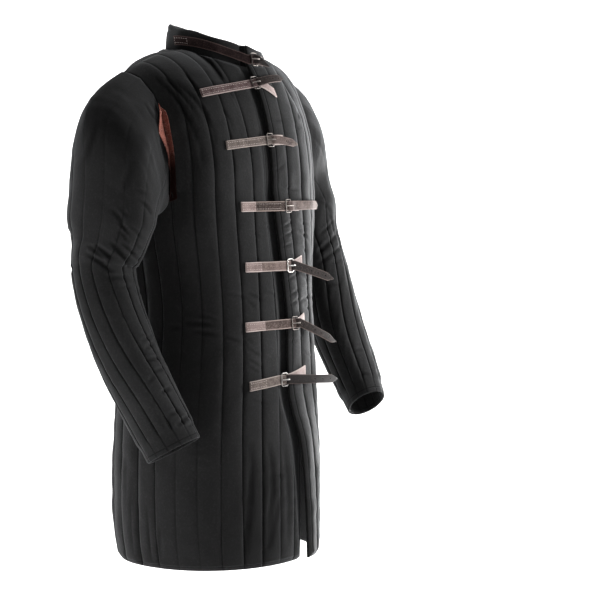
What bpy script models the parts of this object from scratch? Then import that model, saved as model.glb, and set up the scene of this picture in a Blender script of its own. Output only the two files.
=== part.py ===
"""Gambeson: a knee-length quilted arming coat, hollow as when worn.

Metres, +Z up. The front faces -Y and the wearer's right is at -X. The origin is on the
shoulder line, at the middle of the neck, where the wearer's shoulders carry the coat.
"""
import math

import bmesh
import bpy
from mathutils import Matrix, Vector
from mathutils.bvhtree import BVHTree

# ---- sizes ----------------------------------------------------------------------------
SEAM_GAP = 0.0004        # between two pieces at a seam
LAY_GAP = 0.0007         # between a piece and what it lies on
EDGE_WALL = 0.005        # the wall at hems, seams and stitch lines
STITCH_WALL = 0.0055
CROWN_WALL = 0.0105      # the wall at the crown of a padded channel
UNDER_WALL = 0.0055      # the wall where one front is pressed under the other
CHANNEL_STEPS = (0.0, 0.3, 0.7)   # where a channel's outer points stand across it

HEM_Z = -0.912
CHEST_Z = -0.239         # level of the front and back points of the armholes
ARMPIT_Z = -0.272
SIDE_SEAM_Y = 0.018
SHOULDER_X = 0.232
SHOULDER_Y = 0.010       # the shoulder line runs this far behind the origin
NECK_X = 0.088
NECK_FRONT = 0.087
NECK_BACK = 0.090
NECK_Z = 0.009           # the shoulder line where it meets the neck
FRONT_NECK_RISE = 0.034  # how far the surface under the neck's front and back would
BACK_NECK_RISE = 0.036   # rise above that if the neck were not cut out of it
SHOULDER_SLOPE = 0.08
SHOULDER_CURVE = 1.55
FRONT_FULLNESS = (2.0, 2.05)   # of the upper front, at the middle and at the armhole
BACK_FULLNESS = (2.9, 2.1)

# Inner faces of the body at levels down the coat: half width, depth in front of and
# behind the origin, and how square the section is (2 is an ellipse).
BODY_LEVELS = (
    # z, half_width, front, back, squareness
    (-0.200, 0.196, 0.142, 0.142, 2.50),
    (-0.300, 0.192, 0.148, 0.136, 2.40),
    (-0.380, 0.180, 0.154, 0.130, 2.30),
    (-0.460, 0.174, 0.160, 0.128, 2.20),
    (-0.550, 0.179, 0.166, 0.140, 2.20),
    (-0.650, 0.187, 0.170, 0.158, 2.15),
    (-0.780, 0.190, 0.173, 0.166, 2.15),
    (-0.860, 0.188, 0.173, 0.163, 2.15),
    (-0.912, 0.183, 0.172, 0.152, 2.15),
)
FRONT_CHANNELS_TO_ARMHOLE = {"right": 7, "left": 6}
FRONT_CHANNELS_UNDER_ARM = 2
BACK_CHANNELS_TO_ARMHOLE = 11
BACK_CHANNELS_UNDER_ARM = 1
UNDERLAP_X = 0.044       # the right front reaches this far past the middle, underneath

# The left front's edge: how far across the middle it lies and how far it stands off.
LAP_EDGE = (
    # z, x, stand_off
    (0.020, -0.016, 0.003),
    (-0.080, -0.020, 0.003),
    (-0.200, -0.024, 0.000),
    (-0.450, -0.002, 0.000),
    (-0.600, -0.006, 0.000),
    (-0.700, 0.024, 0.002),
    (-0.912, 0.046, 0.003),
)
LAP_LIFT = UNDER_WALL + 0.0020
LAP_HOLD = 0.030         # the left front stays lifted this far past the underlap
LAP_EASE = 0.060         # and comes back to its own level over this
LAP_HOLD_AT_NECK = 0.004
LAP_EASE_AT_NECK = 0.016
STAND_OFF_EASE = 0.100

LOWER_ROWS = (0.0, 0.02, 0.13, 0.26, 0.39, 0.52, 0.65, 0.78, 0.90, 1.0)
UPPER_ROWS = (1.0, 1.2, 1.4, 1.6, 1.8, 1.94, 2.0)
ARM_CHANNELS = 13        # five up the front, two and one under the arm, five up the back


# ---- small tools -----------------------------------------------------------------------
def mix(a, b, t):
    return a + (b - a) * t


def ease(t):
    t = min(max(t, 0.0), 1.0)
    return t * t * (3.0 - 2.0 * t)


def read_table(table, at):
    """Row values of a table at a place in its first column, along a smooth curve."""
    rows = sorted(table)
    at = min(max(at, rows[0][0]), rows[-1][0])
    k = 0
    while k < len(rows) - 2 and at > rows[k + 1][0]:
        k += 1
    before = rows[max(k - 1, 0)]
    low, high = rows[k], rows[k + 1]
    after = rows[min(k + 2, len(rows) - 1)]
    span = high[0] - low[0]
    t = (at - low[0]) / span
    values = []
    for c in range(1, len(low)):
        slope_low = (high[c] - before[c]) / (high[0] - before[0]) * span
        slope_high = (after[c] - low[c]) / (after[0] - low[0]) * span
        values.append(
            (2 * t**3 - 3 * t**2 + 1) * low[c] + (t**3 - 2 * t**2 + t) * slope_low
            + (3 * t**2 - 2 * t**3) * high[c] + (t**3 - t**2) * slope_high
        )
    return values


# ---- the body's shape ------------------------------------------------------------------
def section_point(z, angle):
    """A point of the body's section; angle 0 is the middle of the front, pi the back's."""
    half_width, front, back, square = read_table(BODY_LEVELS, min(z, BODY_LEVELS[0][0]))
    s, c = math.sin(angle), math.cos(angle)
    x = half_width * math.copysign(abs(s) ** (2 / square), s)
    depth = front if c > 0 else back
    return x, -depth * math.copysign(abs(c) ** (2 / square), c)


SECTION_STEPS = 160
SECTION_CACHE = {}


def half_section(z):
    """Points from the middle of the front round the left to the middle of the back."""
    key = round(z, 5)
    if key not in SECTION_CACHE:
        points = [section_point(z, math.pi * k / SECTION_STEPS) for k in range(SECTION_STEPS + 1)]
        along = [0.0]
        for a, b in zip(points, points[1:]):
            along.append(along[-1] + math.dist(a, b))
        SECTION_CACHE[key] = (points, along)
    return SECTION_CACHE[key]


def on_section(z, share):
    """A point at a share of the half girth: 0 front middle, 1 back middle, below 0 mirrored."""
    points, along = half_section(z)
    target = abs(share) * along[-1]
    low, high = 0, len(along) - 1
    while high - low > 1:
        mid = (low + high) // 2
        if along[mid] <= target:
            low = mid
        else:
            high = mid
    t = (target - along[low]) / (along[high] - along[low])
    x = mix(points[low][0], points[high][0], t)
    return math.copysign(x, share), mix(points[low][1], points[high][1], t)


def share_where(z, coordinate, value, low, high):
    """The share between low and high whose point has this x (0) or y (1)."""
    rising = on_section(z, high)[coordinate] > on_section(z, low)[coordinate]
    for _ in range(40):
        mid = (low + high) / 2
        if (on_section(z, mid)[coordinate] < value) == rising:
            low = mid
        else:
            high = mid
    return (low + high) / 2


ARMHOLE_FRONT_Y = -0.060
ARMHOLE_BACK_Y = 0.060
FRONT_SHARE = share_where(CHEST_Z, 1, ARMHOLE_FRONT_Y, 0.1, 0.5)
SIDE_SHARE = share_where(CHEST_Z, 1, SIDE_SEAM_Y, 0.3, 0.7)
BACK_SHARE = share_where(CHEST_Z, 1, ARMHOLE_BACK_Y, 0.5, 0.9)


def shoulder_z(x, neck_rise):
    """Height of the shoulder line, and of the surface that the neck is cut out of."""
    out = abs(x) - NECK_X
    if out < 0:
        return NECK_Z + neck_rise * (1 - (x / NECK_X) ** 2)
    return NECK_Z - SHOULDER_SLOPE * out - SHOULDER_CURVE * out * out


def upper_point(share, turn):
    """A point above the armhole points; turn goes from 0 there to 1 on the shoulder line."""
    x0, y0 = on_section(CHEST_Z, share)
    girth = half_section(CHEST_Z)[1][-1]
    back = abs(share) > SIDE_SHARE
    along = (1.0 - abs(share)) * girth if back else abs(share) * girth
    reach = along * SHOULDER_X / ((1.0 - BACK_SHARE if back else FRONT_SHARE) * girth)
    top_x = math.copysign(reach, share)
    fullness = mix(*(BACK_FULLNESS if back else FRONT_FULLNESS), ease(reach / SHOULDER_X))
    angle = turn * math.pi / 2
    rise = math.sin(angle) ** (2 / fullness)
    depth = max(math.cos(angle), 0.0) ** (2 / fullness)
    x = mix(x0, top_x, (1 - math.cos(angle)) ** 1.2)
    top_z = shoulder_z(top_x, BACK_NECK_RISE if back else FRONT_NECK_RISE)
    return Vector((x, mix(SHOULDER_Y, y0, depth), mix(CHEST_Z, top_z, rise)))


def neck_turn(share):
    """The turn at which a column meets the neckline, or 1 where it reaches the shoulder."""
    back = abs(share) > SIDE_SHARE
    depth = NECK_BACK if back else NECK_FRONT
    outside = 1.0
    inside = 0.0

    def past(turn):
        p = upper_point(share, turn)
        return (p.x / NECK_X) ** 2 + (p.y / depth) ** 2 < 1

    if not past(0.9999):
        return 1.0
    for _ in range(30):
        mid = (inside + outside) / 2
        if past(mid):
            outside = mid
        else:
            inside = mid
    return inside


def armpit_top(share):
    """The level at which a column below the armhole ends."""
    a = abs(share)
    if a < SIDE_SHARE:
        t = (a - FRONT_SHARE) / (SIDE_SHARE - FRONT_SHARE)
    else:
        t = (BACK_SHARE - a) / (BACK_SHARE - SIDE_SHARE)
    t = min(max(t, 0.0), 1.0)
    return mix(CHEST_Z, ARMPIT_Z, math.sin(t * math.pi / 2))


def body_point(share, v):
    """The body's inner face: v is 0 at the hem, 1 at the armhole points, 2 at the top."""
    if v <= 1.0:
        z = mix(HEM_Z, armpit_top(share), v)
        x, y = on_section(z, share)
        return Vector((x, y, z))
    return upper_point(share, (v - 1.0) * neck_turn(share))


def body_normal(share, v):
    """Outward direction of the inner face."""
    d = 0.004
    across = body_point(share + d, v) - body_point(share - d, v)
    low, high = max(v - 0.01, 0.0), min(v + 0.01, 2.0)
    if v <= 1.0:
        high = min(high, 1.0)
    else:
        low = max(low, 1.0)
    up = body_point(share, high) - body_point(share, low)
    return across.cross(up).normalized()


def lap_edge(z):
    """Where the left front's edge lies across the middle, and how far it stands off."""
    return read_table(LAP_EDGE, z)


def share_at_x(x, z):
    """The share on the front at which the section at this level has this x."""
    level = min(z, CHEST_Z)
    return math.copysign(share_where(level, 0, abs(x), 0.0, SIDE_SHARE * 0.85), x)


UNDERLAP_SHARE = share_at_x(UNDERLAP_X, CHEST_Z)


def lap_lift(share, z):
    """How far the left front is held off by the right front beneath it."""
    girth = half_section(min(z, CHEST_Z))[1][-1]
    past = (share - UNDERLAP_SHARE) * girth
    at_neck = ease((z + 0.12) / 0.10)
    hold = mix(LAP_HOLD, LAP_HOLD_AT_NECK, at_neck)
    lift = LAP_LIFT * (1.0 - ease((past - hold) / mix(LAP_EASE, LAP_EASE_AT_NECK, at_neck)))
    near_edge = 1.0 - ease((past - hold) / mix(STAND_OFF_EASE, LAP_EASE_AT_NECK, at_neck))
    return lift + lap_edge(z)[1] * near_edge


# ---- walls -----------------------------------------------------------------------------
class Wall:
    """A padded cloth wall on a grid: channels across, rows along, a plain inner face.

    place(u, v) gives the inner point and outward direction at channel place u and row v,
    and thick(u, v, edge) the wall there. cells(channel, row) says which cells there are.
    From row fine_from on, the inner face has as many points across as the outer one.
    """

    def __init__(self, channels, rows, place, thick, cells, closed=False, fine_from=1000):
        self.channels, self.rows = channels, rows
        self.cells, self.closed, self.fine_from = cells, closed, fine_from
        self.bm = bmesh.new()
        self.outer, self.inner = {}, {}
        self.points, self.inner_points = {}, {}
        for i, v in enumerate(rows):
            for k in range(channels if closed else channels + 1):
                for step, part in enumerate(CHANNEL_STEPS):
                    u = k + part
                    if u > channels or not self.touches(u, i):
                        continue
                    point, out = place(u, v)
                    wall = thick(u, v, self.on_edge(u, i))
                    self.outer[i, k, step] = self.bm.verts.new(point + out * wall)
                    self.points[i, k, step] = (point + out * wall, out)
                    if step == 0 or i >= fine_from:
                        self.inner[i, k, step] = self.bm.verts.new(point)
                        self.inner_points[i, k, step] = point
        self.make_faces()

    def has(self, channel, row):
        if self.closed:
            channel %= self.channels
        inside = 0 <= channel < self.channels and 0 <= row < len(self.rows) - 1
        return inside and self.cells(channel, row)

    def around(self, u, row):
        """The cells that meet at a grid point."""
        k = math.floor(u)
        sides = (k - 1, k) if u == k else (k,)
        return [(c, r) for c in sides for r in (row - 1, row)]

    def touches(self, u, row):
        return any(self.has(c, r) for c, r in self.around(u, row))

    def on_edge(self, u, row):
        return not all(self.has(c, r) for c, r in self.around(u, row))

    def out_at(self, i, k, step):
        if step == len(CHANNEL_STEPS):
            k, step = k + 1, 0
        return self.outer[i, k % self.channels if self.closed else k, step]

    def in_across(self, i, k):
        """The inner points across one channel, its two lines among them."""
        steps = range(len(CHANNEL_STEPS)) if i >= self.fine_from else (0,)
        right = (k + 1) % self.channels if self.closed else k + 1
        return [self.inner[i, k, s] for s in steps] + [self.inner[i, right, 0]]

    def in_at(self, i, k):
        return self.inner[i, k % self.channels if self.closed else k, 0]

    def face(self, *verts):
        self.bm.faces.new(verts)

    def end_strip(self, i, k):
        """The wall's cut face across one channel, along a row."""
        outs = [self.out_at(i, k, s) for s in range(len(CHANNEL_STEPS) + 1)]
        ins = self.in_across(i, k)
        if len(ins) == len(outs):
            for s in range(len(CHANNEL_STEPS)):
                self.face(ins[s], ins[s + 1], outs[s + 1], outs[s])
            return
        self.face(ins[0], outs[1], outs[0])
        self.face(ins[0], ins[1], outs[2], outs[1])
        self.face(ins[1], outs[3], outs[2])

    def inner_faces(self, i, k):
        low, high = self.in_across(i, k), self.in_across(i + 1, k)
        if len(low) == len(high):
            for s in range(len(low) - 1):
                self.face(low[s], high[s], high[s + 1], low[s + 1])
            return
        self.face(low[0], high[0], high[1])
        self.face(low[0], high[1], high[2], low[1])
        self.face(low[1], high[2], high[3])

    def make_faces(self):
        steps = len(CHANNEL_STEPS)
        for i in range(len(self.rows) - 1):
            for k in range(self.channels):
                if not self.has(k, i):
                    continue
                for s in range(steps):
                    self.face(
                        self.out_at(i, k, s), self.out_at(i, k, s + 1),
                        self.out_at(i + 1, k, s + 1), self.out_at(i + 1, k, s),
                    )
                self.inner_faces(i, k)
                if not self.has(k, i - 1):
                    self.end_strip(i, k)
                if not self.has(k, i + 1):
                    self.end_strip(i + 1, k)
                for side, there in ((k, self.has(k - 1, i)), (k + 1, self.has(k + 1, i))):
                    if not there:
                        self.face(
                            self.in_at(i, side), self.out_at(i, side, 0),
                            self.out_at(i + 1, side, 0), self.in_at(i + 1, side),
                        )
        bmesh.ops.recalc_face_normals(self.bm, faces=self.bm.faces)


def finish_object(name, bm, colour, roughness, metallic=0.0):
    mesh = bpy.data.meshes.new(name)
    bm.to_mesh(mesh)
    bm.free()
    mesh.shade_smooth()
    mesh.set_sharp_from_angle(angle=math.radians(40))
    obj = bpy.data.objects.new(name, mesh)
    PARTS.objects.link(obj)
    give_material(obj, colour, roughness, metallic)
    return obj


def give_material(obj, colour, roughness, metallic):
    material = bpy.data.materials.new(obj.name)
    material.use_nodes = True
    shader = material.node_tree.nodes["Principled BSDF"]
    shader.inputs["Base Color"].default_value = (*colour, 1.0)
    shader.inputs["Roughness"].default_value = roughness
    shader.inputs["Metallic"].default_value = metallic
    obj.data.materials.clear()
    obj.data.materials.append(material)


CLOTH = (0.012, 0.012, 0.013)
STRAP_LEATHER = (0.09, 0.045, 0.035)
TAB_LEATHER = (0.22, 0.13, 0.11)
BINDING_LEATHER = (0.30, 0.10, 0.07)
STEEL = (0.62, 0.61, 0.60)


# ---- the fronts and the back -----------------------------------------------------------
def wall_at(u, edge):
    if edge:
        return EDGE_WALL
    return STITCH_WALL if u == math.floor(u) else CROWN_WALL


def armhole_out(side, point, out, attached):
    """Outward direction of the armhole's edge, mitred between body and sleeve."""
    radial = Vector((0.0, point.y, point.z - ARMHOLE_MIDDLE_Z)).normalized()
    return (out + radial * 0.9 * attached).normalized()


ARMHOLE_MIDDLE_Z = -0.150
OPEN_FROM = 8 / 3        # channels down from the shoulder where the underarm opening starts


def attached_at(v):
    """1 where the sleeve is sewn on, 0 where the underarm is open; v is a row, 2 the top."""
    down = (2.0 - v) * 5.0
    return 1.0 - ease((down - OPEN_FROM + 0.3) / 1.2)


def next_inward(u, falling):
    """The place of the wall's next outer point toward a lower or higher u."""
    channel = math.floor(u)
    steps = CHANNEL_STEPS + (1.0,)
    nearest = min(range(len(CHANNEL_STEPS)), key=lambda n: abs(u - channel - steps[n]))
    if falling and nearest == 0:
        return channel - 1 + CHANNEL_STEPS[-1]
    return channel + steps[nearest - 1 if falling else nearest + 1]


def body_place(share, v, side, share_inward=None):
    """Inner point and outward direction for a share on the left half, put on a side.

    share_inward is the next column's toward the neck; the first column of the shoulder
    seam ends at the neck's corner.
    """
    point = body_point(share, v)
    out = body_normal(share, v)
    if v == 2.0 and neck_turn(share) == 1.0:
        out = Vector((out.x, 0.0, out.z)).normalized()
        shift = SEAM_GAP / 2 if abs(share) > SIDE_SHARE else -SEAM_GAP / 2
        point = Vector((point.x, SHOULDER_Y + shift, point.z))
        if share_inward is not None and neck_turn(share_inward) < 1.0:
            point = Vector((NECK_X, point.y, NECK_Z))
    if side == "right":
        point, out = Vector((-point.x, point.y, point.z)), Vector((-out.x, out.y, out.z))
    return point, out


GIRTH_AT_CHEST = half_section(CHEST_Z)[1][-1]
SIDE_GAP_SHARE = SEAM_GAP / 2 / GIRTH_AT_CHEST


def front_share(side, u, v):
    """The share of channel place u on a front; u is 0 at the front's own edge."""
    to_armhole = FRONT_CHANNELS_TO_ARMHOLE[side]
    if side == "right":
        first = -UNDERLAP_SHARE
    else:
        z = min(mix(HEM_Z, CHEST_Z, min(v, 1.0)), CHEST_Z)
        first = share_at_x(lap_edge(z)[0], z)
    if u <= to_armhole:
        return mix(first, FRONT_SHARE, u / to_armhole)
    last = SIDE_SHARE - SIDE_GAP_SHARE
    return mix(FRONT_SHARE, last, (u - to_armhole) / FRONT_CHANNELS_UNDER_ARM)


def front_place(side, u, v):
    share = front_share(side, u, v)
    inward = front_share(side, max(next_inward(u, True), 0.0), v)
    point, out = body_place(share, v, side, inward)
    if side == "left":
        point = point + out * lap_lift(share, point.z)
    if u == FRONT_CHANNELS_TO_ARMHOLE[side] and v > 1.0:
        out = armhole_out(side, point, out, attached_at(v))
    return point, out


def under_lap(point):
    """Whether a point of the right front lies pressed under the left front's edge."""
    return point.x > lap_edge(point.z)[0] - 0.012


def make_front(side):
    to_armhole = FRONT_CHANNELS_TO_ARMHOLE[side]
    rows = LOWER_ROWS + UPPER_ROWS[1:]
    chest_row = len(LOWER_ROWS) - 1

    def thick(u, v, edge):
        if side == "right" and under_lap(front_place(side, u, v)[0]):
            return UNDER_WALL
        return wall_at(u, edge)

    wall = Wall(
        to_armhole + FRONT_CHANNELS_UNDER_ARM, rows,
        lambda u, v: front_place(side, u, v), thick,
        lambda channel, row: channel < to_armhole or row < chest_row,
        fine_from=len(rows) - 2,
    )
    return finish_object("front_" + side, wall.bm, CLOTH, 0.85), wall


def back_share(u):
    under, across = BACK_CHANNELS_UNDER_ARM, BACK_CHANNELS_TO_ARMHOLE
    out_from_middle = abs(u - under - across / 2)
    if out_from_middle <= across / 2:
        return min(mix(1.0, BACK_SHARE, out_from_middle / (across / 2)), 0.9999)
    last = SIDE_SHARE + SIDE_GAP_SHARE
    return mix(BACK_SHARE, last, (out_from_middle - across / 2) / under)


def back_place(u, v):
    """u runs from the right side seam across the back to the left side seam."""
    middle = BACK_CHANNELS_UNDER_ARM + BACK_CHANNELS_TO_ARMHOLE / 2
    side = "right" if u < middle else "left"
    inward = back_share(next_inward(u, side == "left"))
    point, out = body_place(back_share(u), v, side, inward)
    if abs(u - middle) == BACK_CHANNELS_TO_ARMHOLE / 2 and v > 1.0:
        out = armhole_out(side, point, out, attached_at(v))
    return point, out


def make_back():
    under, across = BACK_CHANNELS_UNDER_ARM, BACK_CHANNELS_TO_ARMHOLE
    rows = LOWER_ROWS + UPPER_ROWS[1:]
    chest_row = len(LOWER_ROWS) - 1
    wall = Wall(
        across + 2 * under, rows, back_place, lambda u, v, edge: wall_at(u, edge),
        lambda channel, row: under <= channel < under + across or row < chest_row,
        fine_from=len(rows) - 2,
    )
    finish_object("back", wall.bm, CLOTH, 0.85)
    return wall


# ---- the sleeves -----------------------------------------------------------------------
# Inner faces of the arms at levels down them: the middle of the section, its half sizes
# out to the side and forward, and how far the forearm has turned its palm inward.
ARM_LEVELS = {
    "right": (
        # z, x, y, half_side, half_deep, turn_deg
        (-0.290, -0.273, 0.005, 0.053, 0.082, 0.0),
        (-0.330, -0.277, 0.008, 0.050, 0.066, 0.0),
        (-0.370, -0.283, 0.014, 0.047, 0.052, 0.0),
        (-0.430, -0.283, 0.001, 0.046, 0.050, 8.0),
        (-0.520, -0.270, -0.028, 0.045, 0.049, 20.0),
        (-0.600, -0.258, -0.068, 0.041, 0.047, 32.0),
        (-0.684, -0.245, -0.114, 0.032, 0.046, 40.0),
    ),
    "left": (
        (-0.290, 0.273, 0.015, 0.053, 0.082, 0.0),
        (-0.330, 0.278, 0.000, 0.050, 0.066, 0.0),
        (-0.370, 0.284, -0.018, 0.047, 0.054, 0.0),
        (-0.430, 0.287, -0.040, 0.046, 0.050, 8.0),
        (-0.500, 0.288, -0.066, 0.045, 0.049, 20.0),
        (-0.570, 0.283, -0.105, 0.041, 0.047, 32.0),
        (-0.650, 0.266, -0.158, 0.032, 0.046, 40.0),
    ),
}
SLEEVE_HEAD_ROWS = (0.0, 0.08, 0.24, 0.44, 0.64, 0.84)
SLEEVE_ARM_ROWS = (1.0, 1.11, 1.22, 1.37, 1.53, 1.69, 1.84, 1.96, 2.0)
CUFF_WALL = 0.005
ARM_CROWN_WALL = 0.0075
ARM_STITCH_WALL = 0.0045
ARM_CHANNELS_FRONT = 5
ARM_TURN = 0.25          # the shoulder seam stands this many channels behind the arm's top
# How far the sleeve's free edge stands out from the body's, by channels from the shoulder.
UNDERARM_GAP = (
    # channels_down, gap
    (8 / 3, 0.0004),
    (3.0, 0.0050),
    (3.4, 0.0085),
    (4.0, 0.0125),
    (5.0, 0.0175),
    (7.0, 0.0220),
)


def sign_of(side):
    return -1.0 if side == "right" else 1.0


def armhole_edge(side, u):
    """Inner and outer point of the body's armhole edge at a place u round the sleeve."""
    down, front = ARM_CHANNELS_FRONT, True
    if u <= down:
        v = 2.0 - u / down
    elif u >= ARM_CHANNELS - down:
        v = 1.0 + (u - (ARM_CHANNELS - down)) / down
        front = False
    else:
        v = 1.0
    if v > 1.0:
        column = FRONT_CHANNELS_TO_ARMHOLE[side]
        if not front:
            column = BACK_CHANNELS_UNDER_ARM
            if side == "left":
                column += BACK_CHANNELS_TO_ARMHOLE
        lower = max(r for r in UPPER_ROWS if r <= v + 1e-9)
        upper = min(r for r in UPPER_ROWS if r >= v - 1e-9)
        ends = []
        for row in (lower, upper):
            point, out = front_place(side, column, row) if front else back_place(column, row)
            ends.append((point, point + out * EDGE_WALL))
        t = 0.0 if upper == lower else (v - lower) / (upper - lower)
        return ends[0][0].lerp(ends[1][0], t), ends[0][1].lerp(ends[1][1], t)
    seam_at = down + FRONT_CHANNELS_UNDER_ARM
    if u <= seam_at:
        point, out = front_place(side, FRONT_CHANNELS_TO_ARMHOLE[side] + u - down, 1.0)
    else:
        past_seam = u - seam_at
        whole = BACK_CHANNELS_TO_ARMHOLE + 2 * BACK_CHANNELS_UNDER_ARM
        point, out = back_place(past_seam if side == "right" else whole - past_seam, 1.0)
    return point, point + out * EDGE_WALL


def channels_down(u):
    """Channels from the shoulder seam down either side of the armhole."""
    bottom = ARM_CHANNELS_FRONT + FRONT_CHANNELS_UNDER_ARM
    if u <= bottom:
        return u
    return (ARM_CHANNELS - u) * bottom / (ARM_CHANNELS - bottom) if u > bottom + 1 else bottom


def arm_section(side, v):
    """Middle, outward-side and forward directions and half sizes of the arm; v is 1 to 2."""
    table = ARM_LEVELS[side]
    top, low = table[0][0], table[-1][0]
    z = mix(top, low, v - 1.0)
    x, y, half_side, half_deep, turn = read_table(table, z)
    x1, y1 = read_table(table, z - 0.01)[:2] if z - 0.01 > low else (x, y)
    x0, y0 = read_table(table, z + 0.01)[:2] if z + 0.01 < top else (x, y)
    drop = min(z + 0.01, top) - max(z - 0.01, low)
    axis = Vector((x1 - x0, y1 - y0, -drop)).normalized()
    forward = Vector((0.0, -1.0, 0.0))
    forward = (forward - axis * forward.dot(axis)).normalized()
    outward = Vector((sign_of(side), 0.0, 0.0))
    outward = (outward - axis * outward.dot(axis) - forward * outward.dot(forward)).normalized()
    angle = math.radians(turn)
    deep = forward * math.cos(angle) - outward * math.sin(angle)
    wide = outward * math.cos(angle) + forward * math.sin(angle)
    return Vector((x, y, z)), wide, deep, half_side, half_deep, axis


def arm_point(side, u, v):
    """Inner point and outward direction on the arm below the sleeve's head."""
    middle, wide, deep, half_side, half_deep, _ = arm_section(side, v)
    angle = (u - ARM_TURN) / ARM_CHANNELS * 2 * math.pi
    c, s = math.cos(angle), math.sin(angle)
    point = middle + wide * half_side * c + deep * half_deep * s
    out = (wide * c / half_side + deep * s / half_deep).normalized()
    return point, out


def sleeve_edge(side, u):
    """Inner and outer point of the sleeve's armhole edge, and the way its cloth sets off."""
    inner, outer = armhole_edge(side, u)
    out = (outer - inner).normalized()
    before = armhole_edge(side, (u - 0.3) % ARM_CHANNELS)[0]
    after = armhole_edge(side, (u + 0.3) % ARM_CHANNELS)[0]
    away = (after - before).cross(out).normalized()
    outward = Vector((sign_of(side), 0.0, 0.0))
    if away.dot(outward) < 0:
        away = -away
    down = channels_down(u)
    radial = Vector((0.0, inner.y, inner.z - ARMHOLE_MIDDLE_Z)).normalized()
    sewn_way = Vector((outward.x, 0.45 * radial.y, mix(-0.35, -0.50, radial.z))).normalized()
    if down <= OPEN_FROM:
        shift = away * SEAM_GAP
        return inner + shift, outer + shift, sewn_way
    loose = ease((down - OPEN_FROM) / 1.2)
    gap = read_table(UNDERARM_GAP, down)[0]
    ring_out = arm_point(side, u, 1.0)[1]
    way = away.lerp(Vector((outward.x * 0.95, 0.0, -0.3)), loose).normalized()
    start = inner + way * gap
    edge_out = out.lerp(ring_out, loose).normalized()
    free_way = Vector((outward.x * 0.15, 0.0, -1.0)).normalized()
    return start, start + edge_out * EDGE_WALL, sewn_way.lerp(free_way, loose).normalized()


HEAD_REACH = 0.56        # how far the sleeve's cloth runs out before it turns down,
HEAD_DROP = 0.60         # and how far it already runs down the arm
HEAD_WALL_EASE = 0.012   # from its edge the sleeve's wall grows to its whole over this
HEAD_CACHE = {}


def head_ends(side, u):
    u %= ARM_CHANNELS
    if (side, u) not in HEAD_CACHE:
        HEAD_CACHE[side, u] = (sleeve_edge(side, u), arm_point(side, u, 1.0))
    return HEAD_CACHE[side, u]


def head_point(side, u, v):
    """Inner point on the sleeve's head, between the armhole and the arm; v is 0 to 1."""
    (start, _, way), (end, _) = head_ends(side, u)
    axis = arm_section(side, 1.0)[5]
    reach = (end - start).length
    a = start + way * HEAD_REACH * reach
    b = end - axis * HEAD_DROP * reach
    t = v
    return (
        start * (1 - t) ** 3 + a * 3 * t * (1 - t) ** 2 + b * 3 * t * t * (1 - t) + end * t**3
    )


def sleeve_place(side, u, v):
    if v >= 1.0:
        return arm_point(side, u, v)
    if v == 0.0:
        (start, outer, _), _ = head_ends(side, u)
        return start, (outer - start).normalized()
    d = 0.12
    across = head_point(side, u + d, v) - head_point(side, u - d, v)
    along = head_point(side, u, min(v + 0.03, 1.0)) - head_point(side, u, v - 0.03)
    out = across.cross(along).normalized()
    if out.dot(arm_point(side, u, 1.0)[1] + Vector((0.0, 0.0, 0.3))) < 0:
        out = -out
    (start, outer, _), _ = head_ends(side, u)
    near_seam = 1.0 - ease(v / 0.15)
    return head_point(side, u, v), out.lerp((outer - start).normalized(), near_seam * 0.5).normalized()


def make_sleeve(side):
    rows = SLEEVE_HEAD_ROWS + SLEEVE_ARM_ROWS

    def place(u, v):
        return sleeve_place(side, u % ARM_CHANNELS, v)

    def thick(u, v, edge):
        if v == 0.0:
            (start, outer, _), _ = head_ends(side, u % ARM_CHANNELS)
            return (outer - start).length
        if edge:
            return CUFF_WALL
        crown = mix(CROWN_WALL, ARM_CROWN_WALL, ease(v - 1.0))
        wall = ARM_STITCH_WALL if u == math.floor(u) else crown
        (start, _, _), (end, _) = head_ends(side, u)
        return mix(EDGE_WALL, wall, min(v * (end - start).length / HEAD_WALL_EASE, 1.0))

    wall = Wall(ARM_CHANNELS, rows, place, thick, lambda channel, row: True, closed=True)
    finish_object("sleeve_" + side, wall.bm, CLOTH, 0.85)
    return wall.points


# ---- lofts -----------------------------------------------------------------------------
def loft(rings, loop=False):
    """A closed body through rings of points; its ends are capped unless it is a loop."""
    bm = bmesh.new()
    verts = [[bm.verts.new(p) for p in ring] for ring in rings]
    pairs = list(zip(verts, verts[1:]))
    if loop:
        pairs.append((verts[-1], verts[0]))
    else:
        bm.faces.new(verts[0])
        bm.faces.new(verts[-1])
    for a, b in pairs:
        for k in range(len(a)):
            after = (k + 1) % len(a)
            bm.faces.new((a[k], a[after], b[after], b[k]))
    bmesh.ops.recalc_face_normals(bm, faces=bm.faces)
    return bm


# ---- the collar --------------------------------------------------------------------------
COLLAR_WALL = 0.008
COLLAR_GAP = 0.0007      # inside the body's neck edge
COLLAR_TUCK = 0.006      # how far the collar starts below that edge
COLLAR_TUCK_AT_LAP = 0.0002
COLLAR_RIGHT_END_X = -0.022
COLLAR_LEFT_END_X = -0.0155
COLLAR_TOP_Z = 0.0445    # the top rim at the middle of the neck
COLLAR_TOP_BACK = 0.28   # how it rises to the back
COLLAR_TOP_RIGHT = 0.13  # and to the wearer's right
COLLAR_END_RISE = 0.004  # the left end stands this much higher
COLLAR_END_REACH = 0.040
COLLAR_LEAN = 0.005
COLLAR_STATIONS = 54
# The collar's section: across the wall as a share of it, and up as a share of the height.
COLLAR_SECTION = (
    # across, up
    (0.00, 0.00),
    (-0.06, 0.45),
    (0.00, 0.88),
    (0.22, 0.98),
    (0.50, 1.00),
    (0.78, 0.98),
    (1.00, 0.88),
    (1.00, 0.00),
)


def neck_edge(inner_points):
    """A panel's inner points along its top row that lie on the neck."""
    top = len(LOWER_ROWS) + len(UPPER_ROWS) - 2
    places = sorted(place for place in inner_points if place[0] == top)
    line = [inner_points[place] for place in places]
    return [p for p in line if abs(p.x) <= NECK_X + 1e-6]


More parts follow.
